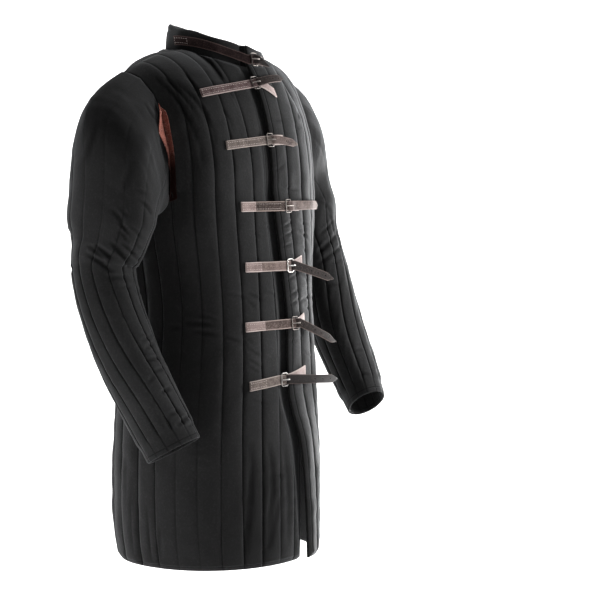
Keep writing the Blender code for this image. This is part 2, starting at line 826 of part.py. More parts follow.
def neck_line(right, left, back):
    """The body's inner neck edge from the right front's lap round the back to the left's."""
    line = [p for p in neck_edge(right) if p.x < COLLAR_RIGHT_END_X]
    right_end = neck_edge(right)[len(neck_edge(right)) - len(line) - 1]
    t = (COLLAR_RIGHT_END_X - right_end.x) / (line[0].x - right_end.x)
    line.insert(0, right_end.lerp(line[0], t))
    line += neck_edge(back)[1:-1]
    ending = [p for p in neck_edge(left) if p.x > COLLAR_LEFT_END_X]
    left_end = neck_edge(left)[len(neck_edge(left)) - len(ending) - 1]
    t = (COLLAR_LEFT_END_X - left_end.x) / (ending[0].x - left_end.x)
    return line + ending[::-1] + [left_end.lerp(ending[0], t)]


def evenly(line, count):
    """Points at even distances along a line."""
    along = [0.0]
    for a, b in zip(line, line[1:]):
        along.append(along[-1] + (b - a).length)
    points = []
    k = 0
    for n in range(count):
        target = along[-1] * n / (count - 1)
        while k < len(line) - 2 and along[k + 1] < target:
            k += 1
        t = (target - along[k]) / max(along[k + 1] - along[k], 1e-9)
        points.append(line[k].lerp(line[k + 1], t))
    return points


def collar_section(edge, inward, at_lap):
    tuck = COLLAR_TUCK_AT_LAP if at_lap else COLLAR_TUCK
    low = edge.z - tuck
    top = COLLAR_TOP_Z + COLLAR_TOP_BACK * edge.y - COLLAR_TOP_RIGHT * edge.x
    if at_lap:
        top += COLLAR_END_RISE * (1.0 - ease((edge.x - COLLAR_LEFT_END_X) / COLLAR_END_REACH))
    ring = []
    for across, up in COLLAR_SECTION:
        set_in = COLLAR_GAP + COLLAR_LEAN * up * up + across * COLLAR_WALL
        point = edge + inward * set_in
        ring.append(Vector((point.x, point.y, mix(low, top, up))))
    return ring


def make_collar(right, left, back):
    edge = evenly(neck_line(right, left, back), COLLAR_STATIONS)
    rings = []
    for k, point in enumerate(edge):
        along = edge[min(k + 1, len(edge) - 1)] - edge[max(k - 1, 0)]
        inward = Vector((along.y, -along.x, 0.0)).normalized()
        at_lap = k > len(edge) / 2 and point.x < UNDERLAP_X + 0.008 and point.y < 0
        rings.append(collar_section(point, inward, at_lap))
    return finish_object("collar", loft(rings), CLOTH, 0.85)


# ---- the leather round the underarm openings ----------------------------------------------
BINDING_WIDTH = 0.012
BINDING_THICK = 0.0012
BODY_BINDING_LIFT = 0.0011
SLEEVE_BINDING_LIFT = 0.0027
ARCH_BRIDGE = 0.0036
ARCH_LIFT = 0.0008
ARCH_STATIONS = 3
ARCH_STEP = 0.30         # channels that the strip reaches up the seam over the opening's end
CORNER_STEP = 0.0006
CORNER_NUDGE = 0.06      # of the way to the next point, so that two stations never meet


def surface_of(*objects):
    """The faces of some objects, to lay other pieces on."""
    verts, faces = [], []
    for obj in objects:
        start = len(verts)
        verts.extend(v.co.copy() for v in obj.data.vertices)
        obj.data.calc_loop_triangles()
        faces.extend([start + k for k in t.vertices] for t in obj.data.loop_triangles)
    return BVHTree.FromPolygons(verts, faces)


def between(a, b, t):
    """A wall's point and outward direction part of the way from one to another."""
    return a[0].lerp(b[0], t), a[1].lerp(b[1], t).normalized()


def raised(place, height):
    point, out = place
    return point + out * height, out


def column_at(points, v, k, step):
    """A wall's outer point between two of its rows above the chest."""
    lower = max(n for n, r in enumerate(UPPER_ROWS) if r <= v + 1e-9)
    lower = min(lower, len(UPPER_ROWS) - 2)
    t = (v - UPPER_ROWS[lower]) / (UPPER_ROWS[lower + 1] - UPPER_ROWS[lower])
    row = len(LOWER_ROWS) - 1 + lower
    return between(points[row, k, step], points[row + 1, k, step], t)


def side_of_opening(points, edge, beside, arch_v):
    """Strip stations down one column of the body: arch, then rows to the armpit's corner."""
    arch = column_at(points, arch_v, *edge), column_at(points, arch_v, *beside)
    stations = [tuple(raised(place, ARCH_LIFT) for place in arch)]
    for v in (1.4, 1.2):
        stations.append((column_at(points, v, *edge), column_at(points, v, *beside)))
    chest = len(LOWER_ROWS) - 1
    corner, above = points[(chest, *edge)], points[(chest + 1, *edge)]
    up = CORNER_STEP / (above[0] - corner[0]).length
    stations.append((between(corner, above, up), points[(chest, *beside)]))
    return stations


def under_arm(points, places):
    """Strip stations along the top of a panel below the armhole."""
    chest = len(LOWER_ROWS) - 1
    stations = []
    for k, step in places:
        top, below = points[chest, k, step], points[chest - 1, k, step]
        share = BINDING_WIDTH / (below[0] - top[0]).length
        stations.append((top, between(top, below, share)))
    return stations


def body_stations(side, front, back):
    """Strip stations on the body, from the front arch under the arm to the back arch."""
    arch_v = 2.0 - OPEN_FROM / ARM_CHANNELS_FRONT
    column = FRONT_CHANNELS_TO_ARMHOLE[side]
    last = len(CHANNEL_STEPS) - 1
    stations = side_of_opening(front, (column, 0), (column - 1, last), arch_v)
    places = [(column - 1, last)]
    for k in range(column, column + FRONT_CHANNELS_UNDER_ARM):
        places += [(k, step) for step in range(len(CHANNEL_STEPS))]
    under = under_arm(front, places[:1] + places[2:])
    turn = front[len(LOWER_ROWS) - 1, column, 0]
    nudge = between(turn, front[len(LOWER_ROWS) - 1, column, 1], CORNER_NUDGE)
    stations += [(nudge, under[0][1])] + under[1:]
    width = BACK_CHANNELS_UNDER_ARM
    whole = BACK_CHANNELS_TO_ARMHOLE + 2 * width
    if side == "right":
        edge, beside = (width, 0), (width, 1)
        places = [(k, step) for k in range(width) for step in range(len(CHANNEL_STEPS))][1:]
        before = (width - 1, last)
    else:
        edge, beside = (whole - width, 0), (whole - width - 1, last)
        places = [(k, s) for k in range(whole - width, whole) for s in range(len(CHANNEL_STEPS))]
        places = places[:0:-1]
        before = (whole - width, 1)
    stations += under_arm(back, places)
    low_beside = under_arm(back, [beside])[0][1]
    chest = len(LOWER_ROWS) - 1
    stations.append((between(back[(chest, *edge)], back[(chest, *before)], CORNER_NUDGE), low_beside))
    stations += side_of_opening(back, edge, beside, arch_v)[::-1]
    return stations


def down_column(points, k, step, length):
    """The place at a length down a column of the sleeve's outer points."""
    row = 0
    while True:
        a, b = points[row, k, step], points[row + 1, k, step]
        gap = (b[0] - a[0]).length
        if length <= gap:
            return between(a, b, length / gap)
        length -= gap
        row += 1


def sleeve_stations(sleeve):
    """Strip stations along the sleeve's free edge, from the back arch to the front arch."""
    stations = []
    for k in range(ARM_CHANNELS):
        for step, part in enumerate(CHANNEL_STEPS):
            if OPEN_FROM < k + part < ARM_CHANNELS - OPEN_FROM:
                lengths = (0.0, BINDING_WIDTH / 2, BINDING_WIDTH)
                stations.append(tuple(down_column(sleeve, k, step, n) for n in lengths))
    return stations[::-1]


def over_arch(body, sleeve, above):
    """Stations that carry the strip over an end of the opening, from body to sleeve.

    The seam lies in a valley there, which the strip bridges.
    """
    rim = between(body[0], sleeve[0], 0.5)
    stations = []
    for start, along in ((body, 0.5), (body, 1.0), (sleeve, 0.5)):
        near = raised(between(rim, start[0], 0.5 * (1.0 - along)), ARCH_BRIDGE)
        far = raised(between(start[-1], above, along), ARCH_BRIDGE * along)
        stations.append((near, between(near, far, 0.5), far))
    return stations


def seam_above(side, u):
    """The seam between body and sleeve, a little above an end of the opening."""
    edges = armhole_edge(side, u), sleeve_edge(side, u)
    rims = [(e[1], (e[1] - e[0]).normalized()) for e in edges]
    return between(*rims, 0.5)


def facing(a, b, c, d, out):
    """The normal of a facet of four points, on the side of out."""
    normal = (c - a).cross(d - b).normalized()
    return -normal if normal.dot(out) < 0 else normal


def strip_normals(grid):
    """The strip's own outward directions at its points."""
    count, width = len(grid), len(grid[0])
    normals = [[Vector((0.0, 0.0, 0.0)) for _ in row] for row in grid]
    for j in range(count):
        following = (j + 1) % count
        for c in range(width - 1):
            corners = ((j, c), (j, c + 1), (following, c + 1), (following, c))
            places = [grid[m][n][0] for m, n in corners]
            out = sum((grid[m][n][1] for m, n in corners), Vector((0.0, 0.0, 0.0)))
            normal = facing(*places, out)
            for m, n in corners:
                normals[m][n] += normal
    return [[n.normalized() for n in row] for row in normals]


def make_binding(side, front, back, sleeve):
    on_body = body_stations(side, front, back)
    on_sleeve = sleeve_stations(sleeve)
    back_seam = seam_above(side, ARM_CHANNELS - OPEN_FROM + ARCH_STEP)
    front_seam = seam_above(side, OPEN_FROM - ARCH_STEP)
    stations = on_body + over_arch(on_body[-1], on_sleeve[0], back_seam) + on_sleeve
    stations += over_arch(on_body[0], on_sleeve[-1], front_seam)[::-1]
    grid = [s if len(s) == 3 else (s[0], between(*s, 0.5), s[1]) for s in stations]
    directions = strip_normals(grid)
    first = len(on_body) + ARCH_STATIONS
    last = first + len(on_sleeve) - 1
    # Where the slit closes, the sleeve's rim rises out of the valley, not into the body.
    directions[first][0] = directions[first - 2][0]
    directions[last][0] = directions[last + 2][0]
    rings = []
    for station, row, normals in zip(stations, grid, directions):
        lift = SLEEVE_BINDING_LIFT if len(station) == 3 else BODY_BINDING_LIFT
        low = [point + n * lift for (point, _), n in zip(row, normals)]
        high = [point + n * BINDING_THICK for point, n in zip(low, normals)]
        rings.append(low + high[::-1])
    bm = loft(rings, loop=True)
    finish_object("armhole_binding_" + side, bm, BINDING_LEATHER, 0.55)


# ---- straps, tabs and buckles --------------------------------------------------------------
STRAP_HALF = 0.010
STRAP_THICK = 0.0018
TAB_HALF = 0.009
TIP_LENGTH = 0.012
TIP_HALF = 0.002
BUCKLE_HALF_TALL = 0.0125
BUCKLE_HALF_WIDE = 0.008
BUCKLE_BAR_TALL = 0.00175
BUCKLE_BAR_WIDE = 0.0025
BUCKLE_THICK = 0.0022
BUCKLE_CORNER = 0.003
PRONG_WIDE = 0.0022
PRONG_THICK = 0.0016
# Heights of the undersides above the cloth that the strap is drawn over.
LEATHER_UP = LAY_GAP
BUCKLE_UP = 0.0029
OVER_BAR_UP = 0.0055
OVER_TAB_UP = 0.0030
PRONG_UP = (0.0057, 0.0081)
PRONG_REACH = (-0.009, 0.007)
FLAT_HALF = 0.012        # the cloth is pressed flat this far on either side of a buckle
STRAIGHT_HALF = 0.0097   # the strap runs square through the buckle this far either side
RAY_START = 0.06
PROBE_STEP = 0.0015

# Straps down the front. Places are x and z on the front, but for strap 1, which runs round
# the collar; a tail with a y stands off the cloth and one without it lies on the cloth.
STRAPS = (
    # sewn x, y, z, buckle x, z, tail x, y, z, tab length, tab rise
    (-0.0884, 0.017, 0.034, -0.003, -0.006, 0.022, -0.112, -0.015, 0.016, -0.001),
    (-0.140, None, -0.067, -0.025, -0.051, 0.060, -0.113, -0.035, 0.042, -0.020),
    (-0.120, None, -0.158, -0.025, -0.150, 0.050, -0.155, -0.155, 0.034, 0.000),
    (-0.099, None, -0.266, 0.008, -0.266, 0.150, None, -0.268, 0.034, 0.000),
    (-0.093, None, -0.373, 0.005, -0.373, 0.120, -0.185, -0.402, 0.037, 0.008),
    (-0.095, None, -0.479, 0.0095, -0.477, 0.120, -0.190, -0.518, 0.030, 0.008),
    (-0.095, None, -0.584, -0.020, -0.577, 0.125, -0.190, -0.587, 0.058, 0.012),
)
COLLAR_STRAP_UP = Vector((0.10, 0.25, 1.0))


def front_hit(surface, x, z):
    """The outermost point of the coat's front at this x and z."""
    hit = surface.ray_cast(Vector((x, -0.5, z)), Vector((0.0, 1.0, 0.0)))[0]
    return hit


def upper_hull(points):
    """The taut line over points (s, n), as its corners."""
    hull = []
    for p in sorted(points):
        while len(hull) > 1:
            (s0, n0), (s1, n1) = hull[-2], hull[-1]
            if (s1 - s0) * (p[1] - n0) < (n1 - n0) * (p[0] - s0) - 1e-9:
                break
            hull.pop()
        hull.append(p)
    return hull


def height_on(line, s):
    for (s0, n0), (s1, n1) in zip(line, line[1:]):
        if s <= s1:
            return mix(n0, n1, (s - s0) / (s1 - s0))
    return line[-1][1]


def offset_point(line, s, up):
    """A point held a height above the line at s, square to the line."""
    rise = (height_on(line, s + 0.001) - height_on(line, s - 0.001)) / 0.002
    length = math.hypot(1.0, rise)
    return s - up * rise / length, height_on(line, s) + up / length


class StrapPath:
    """A strap's own directions, and the taut line of the cloth beneath it."""

    def __init__(self, surface, row):
        sewn_x, sewn_y, sewn_z, x, z, tail_x, tail_y, tail_z, self.tab, self.tab_rise = row
        self.centre = front_hit(surface, x, z)
        if sewn_y is None:
            sewn = front_hit(surface, sewn_x, sewn_z)
            low, high = front_hit(surface, x, z - 0.015), front_hit(surface, x, z + 0.015)
            self.across = (high - low).normalized()
        else:
            sewn = Vector((sewn_x, sewn_y, sewn_z))
            self.across = COLLAR_STRAP_UP.normalized()
        self.tail_flat = tail_y is None
        tail = front_hit(surface, tail_x, tail_z) if self.tail_flat else Vector(
            (tail_x, tail_y, tail_z)
        )
        self.out = (self.centre - sewn).cross(self.across).normalized()
        self.along = self.across.cross(self.out).normalized()
        self.sewn, self.tail = self.local(sewn), self.local(tail)
        self.line = self.taut_line(surface)

    def local(self, point):
        offset = point - self.centre
        return offset.dot(self.along), offset.dot(self.out), offset.dot(self.across)

    def world(self, s, n, w):
        return self.centre + self.along * s + self.out * n + self.across * w

    def drift(self, s, end):
        """Sideways place of the strap, tab or tail at s, given its free end's."""
        if abs(s) <= STRAIGHT_HALF:
            return 0.0
        if s < 0.0:
            return self.sewn[2] * (s + STRAIGHT_HALF) / (self.sewn[0] + STRAIGHT_HALF)
        return end[1] * (s - STRAIGHT_HALF) / (end[0] - STRAIGHT_HALF)

    def taut_line(self, surface):
        probes = []
        steps = int((self.tail[0] - self.sewn[0] + 0.02) / PROBE_STEP)
        for k in range(steps):
            s = self.sewn[0] - 0.004 + k * PROBE_STEP
            ends = [(self.tab, self.tab_rise)]
            if self.tail_flat or s <= 0.0:
                ends.append((self.tail[0], self.tail[2]))
            elif s > self.tab + 0.01:
                continue
            middles = [self.drift(s, end) for end in ends]
            low, high = min(middles) - BUCKLE_HALF_TALL, max(middles) + BUCKLE_HALF_TALL
            heights = []
            for j in range(7):
                over = self.world(s, RAY_START, mix(low, high, j / 6))
                hit = surface.ray_cast(over, -self.out)[0]
                if hit is not None:
                    heights.append(self.local(hit)[1])
            if heights:
                probes.append((s, max(heights)))
        hull = upper_hull(probes)
        top = height_on(hull, 0.0)
        rise = (height_on(hull, 0.002) - height_on(hull, -0.002)) / 0.004
        flat = [(side * FLAT_HALF, top + rise * side * FLAT_HALF) for side in (-1, 1)]
        self.rise = rise
        return upper_hull(hull + flat)

    def at_buckle(self, u, up):
        """A point near the buckle: u along the strap from its middle, up off the cloth."""
        length = math.hypot(1.0, self.rise)
        s, n = (u - up * self.rise) / length, (u * self.rise + up) / length
        return s, height_on(self.line, 0.0) + n

    def corners(self, start, end):
        return [s for s, _ in self.line if start + 0.003 < s < end - 0.003]

    def ribbon(self, places, half, thick, free_end, tip=False):
        """A strip of leather through places (s, n), pointed at its end if it has a tip."""
        if tip:
            (s0, n0), (s1, n1) = places[-2], places[-1]
            back = TIP_LENGTH / math.dist(places[-2], places[-1])
            places = places[:-1] + [(mix(s1, s0, back), mix(n1, n0, back)), (s1, n1)]
        rings = []
        for k, (s, n) in enumerate(places):
            before, after = places[max(k - 1, 0)], places[min(k + 1, len(places) - 1)]
            length = math.dist(before, after)
            normal = (-(after[1] - before[1]) / length, (after[0] - before[0]) / length)
            w = self.drift(s, free_end)
            wide = TIP_HALF if tip and k == len(places) - 1 else half
            top_s, top_n = s + normal[0] * thick, n + normal[1] * thick
            rings.append([
                self.world(s, n, w - wide), self.world(s, n, w + wide),
                self.world(top_s, top_n, w + wide), self.world(top_s, top_n, w - wide),
            ])
        return loft(rings)

    def matrix(self, u, up):
        """Places a flat piece at the buckle, its x along the strap and its z outward."""
        s, n = self.at_buckle(u, up)
        length = math.hypot(1.0, self.rise)
        along = (self.along + self.out * self.rise) / length
        out = (self.out - self.along * self.rise) / length
        turned = Matrix((along, self.across, out)).transposed().to_4x4()
        turned.translation = self.world(s, n, 0.0)
        return turned


def make_strap(name, path):
    start = path.sewn[0]
    places = [offset_point(path.line, start, LEATHER_UP)]
    for s in path.corners(start, -FLAT_HALF):
        places.append(offset_point(path.line, s, LEATHER_UP))
    places.append(path.at_buckle(-FLAT_HALF + 0.001, LEATHER_UP))
    places.append(path.at_buckle(-0.0052, LEATHER_UP))
    places.append(path.at_buckle(0.0050, OVER_BAR_UP))
    places.append(path.at_buckle(0.0095, OVER_BAR_UP))
    if path.tail_flat:
        begin = 0.022
        for s in [begin] + path.corners(begin, path.tail[0]) + [path.tail[0]]:
            places.append(offset_point(path.line, s, OVER_TAB_UP))
    else:
        first = places[-1]
        bend = path.at_buckle(0.45 * path.tail[0], OVER_BAR_UP)
        for t in (0.3, 0.65, 1.0):
            low = (mix(first[0], bend[0], t), mix(first[1], bend[1], t))
            high = (mix(bend[0], path.tail[0], t), mix(bend[1], path.tail[1], t))
            places.append((mix(low[0], high[0], t), mix(low[1], high[1], t)))
    free_end = (path.tail[0], path.tail[2])
    bm = path.ribbon(places, STRAP_HALF, STRAP_THICK, free_end, tip=True)
    finish_object(name, bm, STRAP_LEATHER, 0.5)


def make_tab(name, path):
    places = [path.at_buckle(0.0056, LEATHER_UP), path.at_buckle(FLAT_HALF - 0.001, LEATHER_UP)]
    for s in path.corners(FLAT_HALF, path.tab) + [path.tab]:
        places.append(offset_point(path.line, s, LEATHER_UP))
    bm = path.ribbon(places, TAB_HALF, STRAP_THICK, (path.tab, path.tab_rise))
    finish_object(name, bm, TAB_LEATHER, 0.5)


def cut_corners(half_wide, half_tall, corner):
    """A rectangle with its corners cut, as an outline."""
    points = []
    for sx, sy in ((1, 1), (-1, 1), (-1, -1), (1, -1)):
        side = (sx * half_wide, sy * (half_tall - corner))
        top = (sx * (half_wide - corner), sy * half_tall)
        points += [side, top] if sx == sy else [top, side]
    return points


def make_buckle(name, path):
    curve = bpy.data.curves.new(name, "CURVE")
    curve.dimensions = "2D"
    curve.fill_mode = "BOTH"
    curve.extrude = BUCKLE_THICK / 2
    outlines = (
        cut_corners(BUCKLE_HALF_WIDE, BUCKLE_HALF_TALL, BUCKLE_CORNER),
        cut_corners(
            BUCKLE_HALF_WIDE - BUCKLE_BAR_WIDE, BUCKLE_HALF_TALL - BUCKLE_BAR_TALL, 0.0004
        ),
    )
    for outline in outlines:
        spline = curve.splines.new("POLY")
        spline.points.add(len(outline) - 1)
        for point, (x, y) in zip(spline.points, outline):
            point.co = (x, y, 0.0, 1.0)
        spline.use_cyclic_u = True
    obj = bpy.data.objects.new(name, curve)
    PARTS.objects.link(obj)
    obj.matrix_world = path.matrix(0.0, BUCKLE_UP + BUCKLE_THICK / 2)
    give_material(obj, STEEL, 0.3, 1.0)


def make_prong(name, path):
    low, high = PRONG_UP
    start, end = PRONG_REACH
    length = math.hypot(end - start, high - low)
    bpy.ops.mesh.primitive_cube_add(size=1.0)
    obj = bpy.context.object
    obj.name = obj.data.name = name
    for holder in list(obj.users_collection):
        holder.objects.unlink(obj)
    PARTS.objects.link(obj)
    size = Matrix.Diagonal((length, PRONG_WIDE, PRONG_THICK, 1.0))
    tilt = Matrix.Rotation(-math.atan2(high - low, end - start), 4, "Y")
    place = path.matrix((start + end) / 2, (low + high) / 2 + PRONG_THICK / 2)
    obj.data.transform(size)
    obj.matrix_world = place @ tilt
    give_material(obj, STEEL, 0.3, 1.0)


# ---- start ------------------------------------------------------------------------------
for old in list(bpy.data.objects):
    bpy.data.objects.remove(old, do_unlink=True)
PARTS = bpy.data.collections.new("gambeson")
bpy.context.scene.collection.children.link(PARTS)

RIGHT, RIGHT_WALL = make_front("right")
LEFT, LEFT_WALL = make_front("left")
BACK_WALL = make_back()
make_binding("right", RIGHT_WALL.points, BACK_WALL.points, make_sleeve("right"))
make_binding("left", LEFT_WALL.points, BACK_WALL.points, make_sleeve("left"))
PANELS = (RIGHT_WALL, LEFT_WALL, BACK_WALL)
COLLAR = make_collar(*(wall.inner_points for wall in PANELS))
STRAPPED = surface_of(RIGHT, LEFT, COLLAR)
for number, row in enumerate(STRAPS, start=1):
    path = StrapPath(STRAPPED, row)
    make_strap(f"strap_{number}", path)
    make_tab(f"tab_{number}", path)
    make_buckle(f"buckle_{number}", path)
    make_prong(f"prong_{number}", path)
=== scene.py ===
"""Looks of the gambeson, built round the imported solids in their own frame.

Metres, +Z up; the front faces -Y and the wearer's right is at -X.
"""
import math

import bmesh
import bpy
import numpy as np
from mathutils import Matrix, Vector
from mathutils.bvhtree import BVHTree
from mathutils.kdtree import KDTree


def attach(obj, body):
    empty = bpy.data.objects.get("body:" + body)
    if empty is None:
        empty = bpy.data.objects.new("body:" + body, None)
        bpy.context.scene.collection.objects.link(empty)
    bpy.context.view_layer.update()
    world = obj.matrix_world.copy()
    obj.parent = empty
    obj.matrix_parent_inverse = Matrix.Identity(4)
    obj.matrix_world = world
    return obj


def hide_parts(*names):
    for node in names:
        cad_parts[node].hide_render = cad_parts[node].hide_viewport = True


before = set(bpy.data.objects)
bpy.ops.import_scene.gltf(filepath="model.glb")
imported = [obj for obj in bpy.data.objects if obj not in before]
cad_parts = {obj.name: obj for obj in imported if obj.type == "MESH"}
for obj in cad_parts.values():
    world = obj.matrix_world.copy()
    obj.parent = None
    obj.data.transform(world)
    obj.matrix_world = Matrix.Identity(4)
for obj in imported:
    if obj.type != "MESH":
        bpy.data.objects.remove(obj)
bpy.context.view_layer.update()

# ---- camera ----------------------------------------------------------------------------
VIEW_TURN = math.radians(40.0)      # the camera looks this far round from +X to +Y
VIEW = Vector((math.cos(VIEW_TURN), math.sin(VIEW_TURN), 0.0))
VIEW_RIGHT = Vector((VIEW.y, -VIEW.x, 0.0))
EYE = Vector((-2.681, -2.250, -0.186))
FOCAL = 1882.0                      # in pixels of a level camera whose axis meets (214, 160)
AXIS_PIXEL = (214.0, 160.0)
AIMED_FOCAL = 1888.0                # of the same camera turned to aim at the pixel below
AIM_PIXEL = (299.4, 298.2)
PICTURE = 600.0


def pixel_ray(px, py):
    """The direction from the eye through a pixel of the picture."""
    across, down = (px - AXIS_PIXEL[0]) / FOCAL, (py - AXIS_PIXEL[1]) / FOCAL
    return (VIEW + VIEW_RIGHT * across - Vector((0.0, 0.0, down))).normalized()


def linked(name, data):
    """A new object in the scene."""
    obj = bpy.data.objects.new(name, data)
    bpy.context.scene.collection.objects.link(obj)
    return obj


def make_camera():
    data = bpy.data.cameras.new("camera")
    data.sensor_width = 36.0
    data.lens = AIMED_FOCAL / PICTURE * data.sensor_width
    data.clip_start, data.clip_end = 0.1, 50.0
    camera = linked("camera", data)
    camera.location = EYE
    camera.rotation_mode = "QUATERNION"
    aim = pixel_ray(*AIM_PIXEL)
    camera.rotation_quaternion = aim.to_track_quat("-Z", "Y")
    bpy.context.scene.camera = camera


make_camera()


# ---- sizes -----------------------------------------------------------------------------
SEAM_GAP = 0.0004        # between two pieces at a seam
LAY_GAP = 0.0007         # between a piece and what it lies on
EDGE_WALL = 0.005        # the wall at hems, seams and stitch lines
STITCH_WALL = 0.0055
CROWN_WALL = 0.0105      # the wall at the crown of a padded channel
UNDER_WALL = 0.0055      # the wall where one front is pressed under the other
CHANNEL_STEPS = (0.0, 0.3, 0.7)   # where a channel's outer points stand across it

HEM_Z = -0.912
CHEST_Z = -0.239         # level of the front and back points of the armholes
ARMPIT_Z = -0.272
SIDE_SEAM_Y = 0.018
SHOULDER_X = 0.232
SHOULDER_Y = 0.010       # the shoulder line runs this far behind the origin
NECK_X = 0.088
NECK_FRONT = 0.087
NECK_BACK = 0.090
NECK_Z = 0.009           # the shoulder line where it meets the neck
FRONT_NECK_RISE = 0.034  # how far the surface under the neck's front and back would
BACK_NECK_RISE = 0.036   # rise above that if the neck were not cut out of it
SHOULDER_SLOPE = 0.08
SHOULDER_CURVE = 1.55
FRONT_FULLNESS = (2.0, 2.05)   # of the upper front, at the middle and at the armhole
BACK_FULLNESS = (2.9, 2.1)

# Inner faces of the body at levels down the coat: half width, depth in front of and
# behind the origin, and how square the section is (2 is an ellipse).
BODY_LEVELS = (
    # z, half_width, front, back, squareness
    (-0.200, 0.196, 0.142, 0.142, 2.50),
    (-0.300, 0.192, 0.148, 0.136, 2.40),
    (-0.380, 0.180, 0.154, 0.130, 2.30),
    (-0.460, 0.174, 0.160, 0.128, 2.20),
    (-0.550, 0.179, 0.166, 0.140, 2.20),
    (-0.650, 0.187, 0.170, 0.158, 2.15),
    (-0.780, 0.190, 0.173, 0.166, 2.15),
    (-0.860, 0.188, 0.173, 0.163, 2.15),
    (-0.912, 0.183, 0.172, 0.152, 2.15),
)
FRONT_CHANNELS_TO_ARMHOLE = {"right": 7, "left": 6}
FRONT_CHANNELS_UNDER_ARM = 2
BACK_CHANNELS_TO_ARMHOLE = 11
BACK_CHANNELS_UNDER_ARM = 1
UNDERLAP_X = 0.044       # the right front reaches this far past the middle, underneath

# The left front's edge: how far across the middle it lies and how far it stands off.
LAP_EDGE = (
    # z, x, stand_off
    (0.020, -0.016, 0.003),
    (-0.080, -0.020, 0.003),
    (-0.200, -0.024, 0.000),
    (-0.450, -0.002, 0.000),
    (-0.600, -0.006, 0.000),
    (-0.700, 0.024, 0.002),
    (-0.912, 0.046, 0.003),
)
LAP_LIFT = UNDER_WALL + 0.0020
LAP_HOLD = 0.030         # the left front stays lifted this far past the underlap
LAP_EASE = 0.060         # and comes back to its own level over this
LAP_HOLD_AT_NECK = 0.004
LAP_EASE_AT_NECK = 0.016
STAND_OFF_EASE = 0.100

LOWER_ROWS = (0.0, 0.02, 0.13, 0.26, 0.39, 0.52, 0.65, 0.78, 0.90, 1.0)
UPPER_ROWS = (1.0, 1.2, 1.4, 1.6, 1.8, 1.94, 2.0)
ARM_CHANNELS = 13        # five up the front, two and one under the arm, five up the back


# ---- small tools -----------------------------------------------------------------------
def mix(a, b, t):
    return a + (b - a) * t


def ease(t):
    t = min(max(t, 0.0), 1.0)
    return t * t * (3.0 - 2.0 * t)


def read_table(table, at):
    """Row values of a table at a place in its first column, along a smooth curve."""
    rows = sorted(table)
    at = min(max(at, rows[0][0]), rows[-1][0])
    k = 0
    while k < len(rows) - 2 and at > rows[k + 1][0]:
        k += 1
    before = rows[max(k - 1, 0)]
    low, high = rows[k], rows[k + 1]
    after = rows[min(k + 2, len(rows) - 1)]
    span = high[0] - low[0]
    t = (at - low[0]) / span
    values = []
    for c in range(1, len(low)):
        slope_low = (high[c] - before[c]) / (high[0] - before[0]) * span
        slope_high = (after[c] - low[c]) / (after[0] - low[0]) * span
        values.append(
            (2 * t**3 - 3 * t**2 + 1) * low[c] + (t**3 - 2 * t**2 + t) * slope_low
            + (3 * t**2 - 2 * t**3) * high[c] + (t**3 - t**2) * slope_high
        )
    return values


# ---- the body's shape ------------------------------------------------------------------
def section_point(z, angle):
    """A point of the body's section; angle 0 is the middle of the front, pi the back's."""
    half_width, front, back, square = read_table(BODY_LEVELS, min(z, BODY_LEVELS[0][0]))
    s, c = math.sin(angle), math.cos(angle)
    x = half_width * math.copysign(abs(s) ** (2 / square), s)
    depth = front if c > 0 else back
    return x, -depth * math.copysign(abs(c) ** (2 / square), c)


def lengths_of(points):
    """Lengths along a line, from its start to each of its points."""
    along = [0.0]
    for a, b in zip(points, points[1:]):
        along.append(along[-1] + math.dist(a, b))
    return along


SECTION_STEPS = 160
SECTION_CACHE = {}


def half_section(z):
    """Points from the middle of the front round the left to the middle of the back."""
    key = round(z, 5)
    if key not in SECTION_CACHE:
        points = [section_point(z, math.pi * k / SECTION_STEPS) for k in range(SECTION_STEPS + 1)]
        SECTION_CACHE[key] = (points, lengths_of(points))
    return SECTION_CACHE[key]


def on_section(z, share):
    """A point at a share of the half girth: 0 front middle, 1 back middle, below 0 mirrored."""
    points, along = half_section(z)
    target = abs(share) * along[-1]
    low, high = 0, len(along) - 1
    while high - low > 1:
        mid = (low + high) // 2
        if along[mid] <= target:
            low = mid
        else:
            high = mid
    t = (target - along[low]) / (along[high] - along[low])
    x = mix(points[low][0], points[high][0], t)
    return math.copysign(x, share), mix(points[low][1], points[high][1], t)


def share_where(z, coordinate, value, low, high):
    """The share between low and high whose point has this x (0) or y (1)."""
    rising = on_section(z, high)[coordinate] > on_section(z, low)[coordinate]
    for _ in range(40):
        mid = (low + high) / 2
        if (on_section(z, mid)[coordinate] < value) == rising:
            low = mid
        else:
            high = mid
    return (low + high) / 2


ARMHOLE_FRONT_Y = -0.060
ARMHOLE_BACK_Y = 0.060
FRONT_SHARE = share_where(CHEST_Z, 1, ARMHOLE_FRONT_Y, 0.1, 0.5)
SIDE_SHARE = share_where(CHEST_Z, 1, SIDE_SEAM_Y, 0.3, 0.7)
BACK_SHARE = share_where(CHEST_Z, 1, ARMHOLE_BACK_Y, 0.5, 0.9)


def shoulder_z(x, neck_rise):
    """Height of the shoulder line, and of the surface that the neck is cut out of."""
    out = abs(x) - NECK_X
    if out < 0:
        return NECK_Z + neck_rise * (1 - (x / NECK_X) ** 2)
    return NECK_Z - SHOULDER_SLOPE * out - SHOULDER_CURVE * out * out


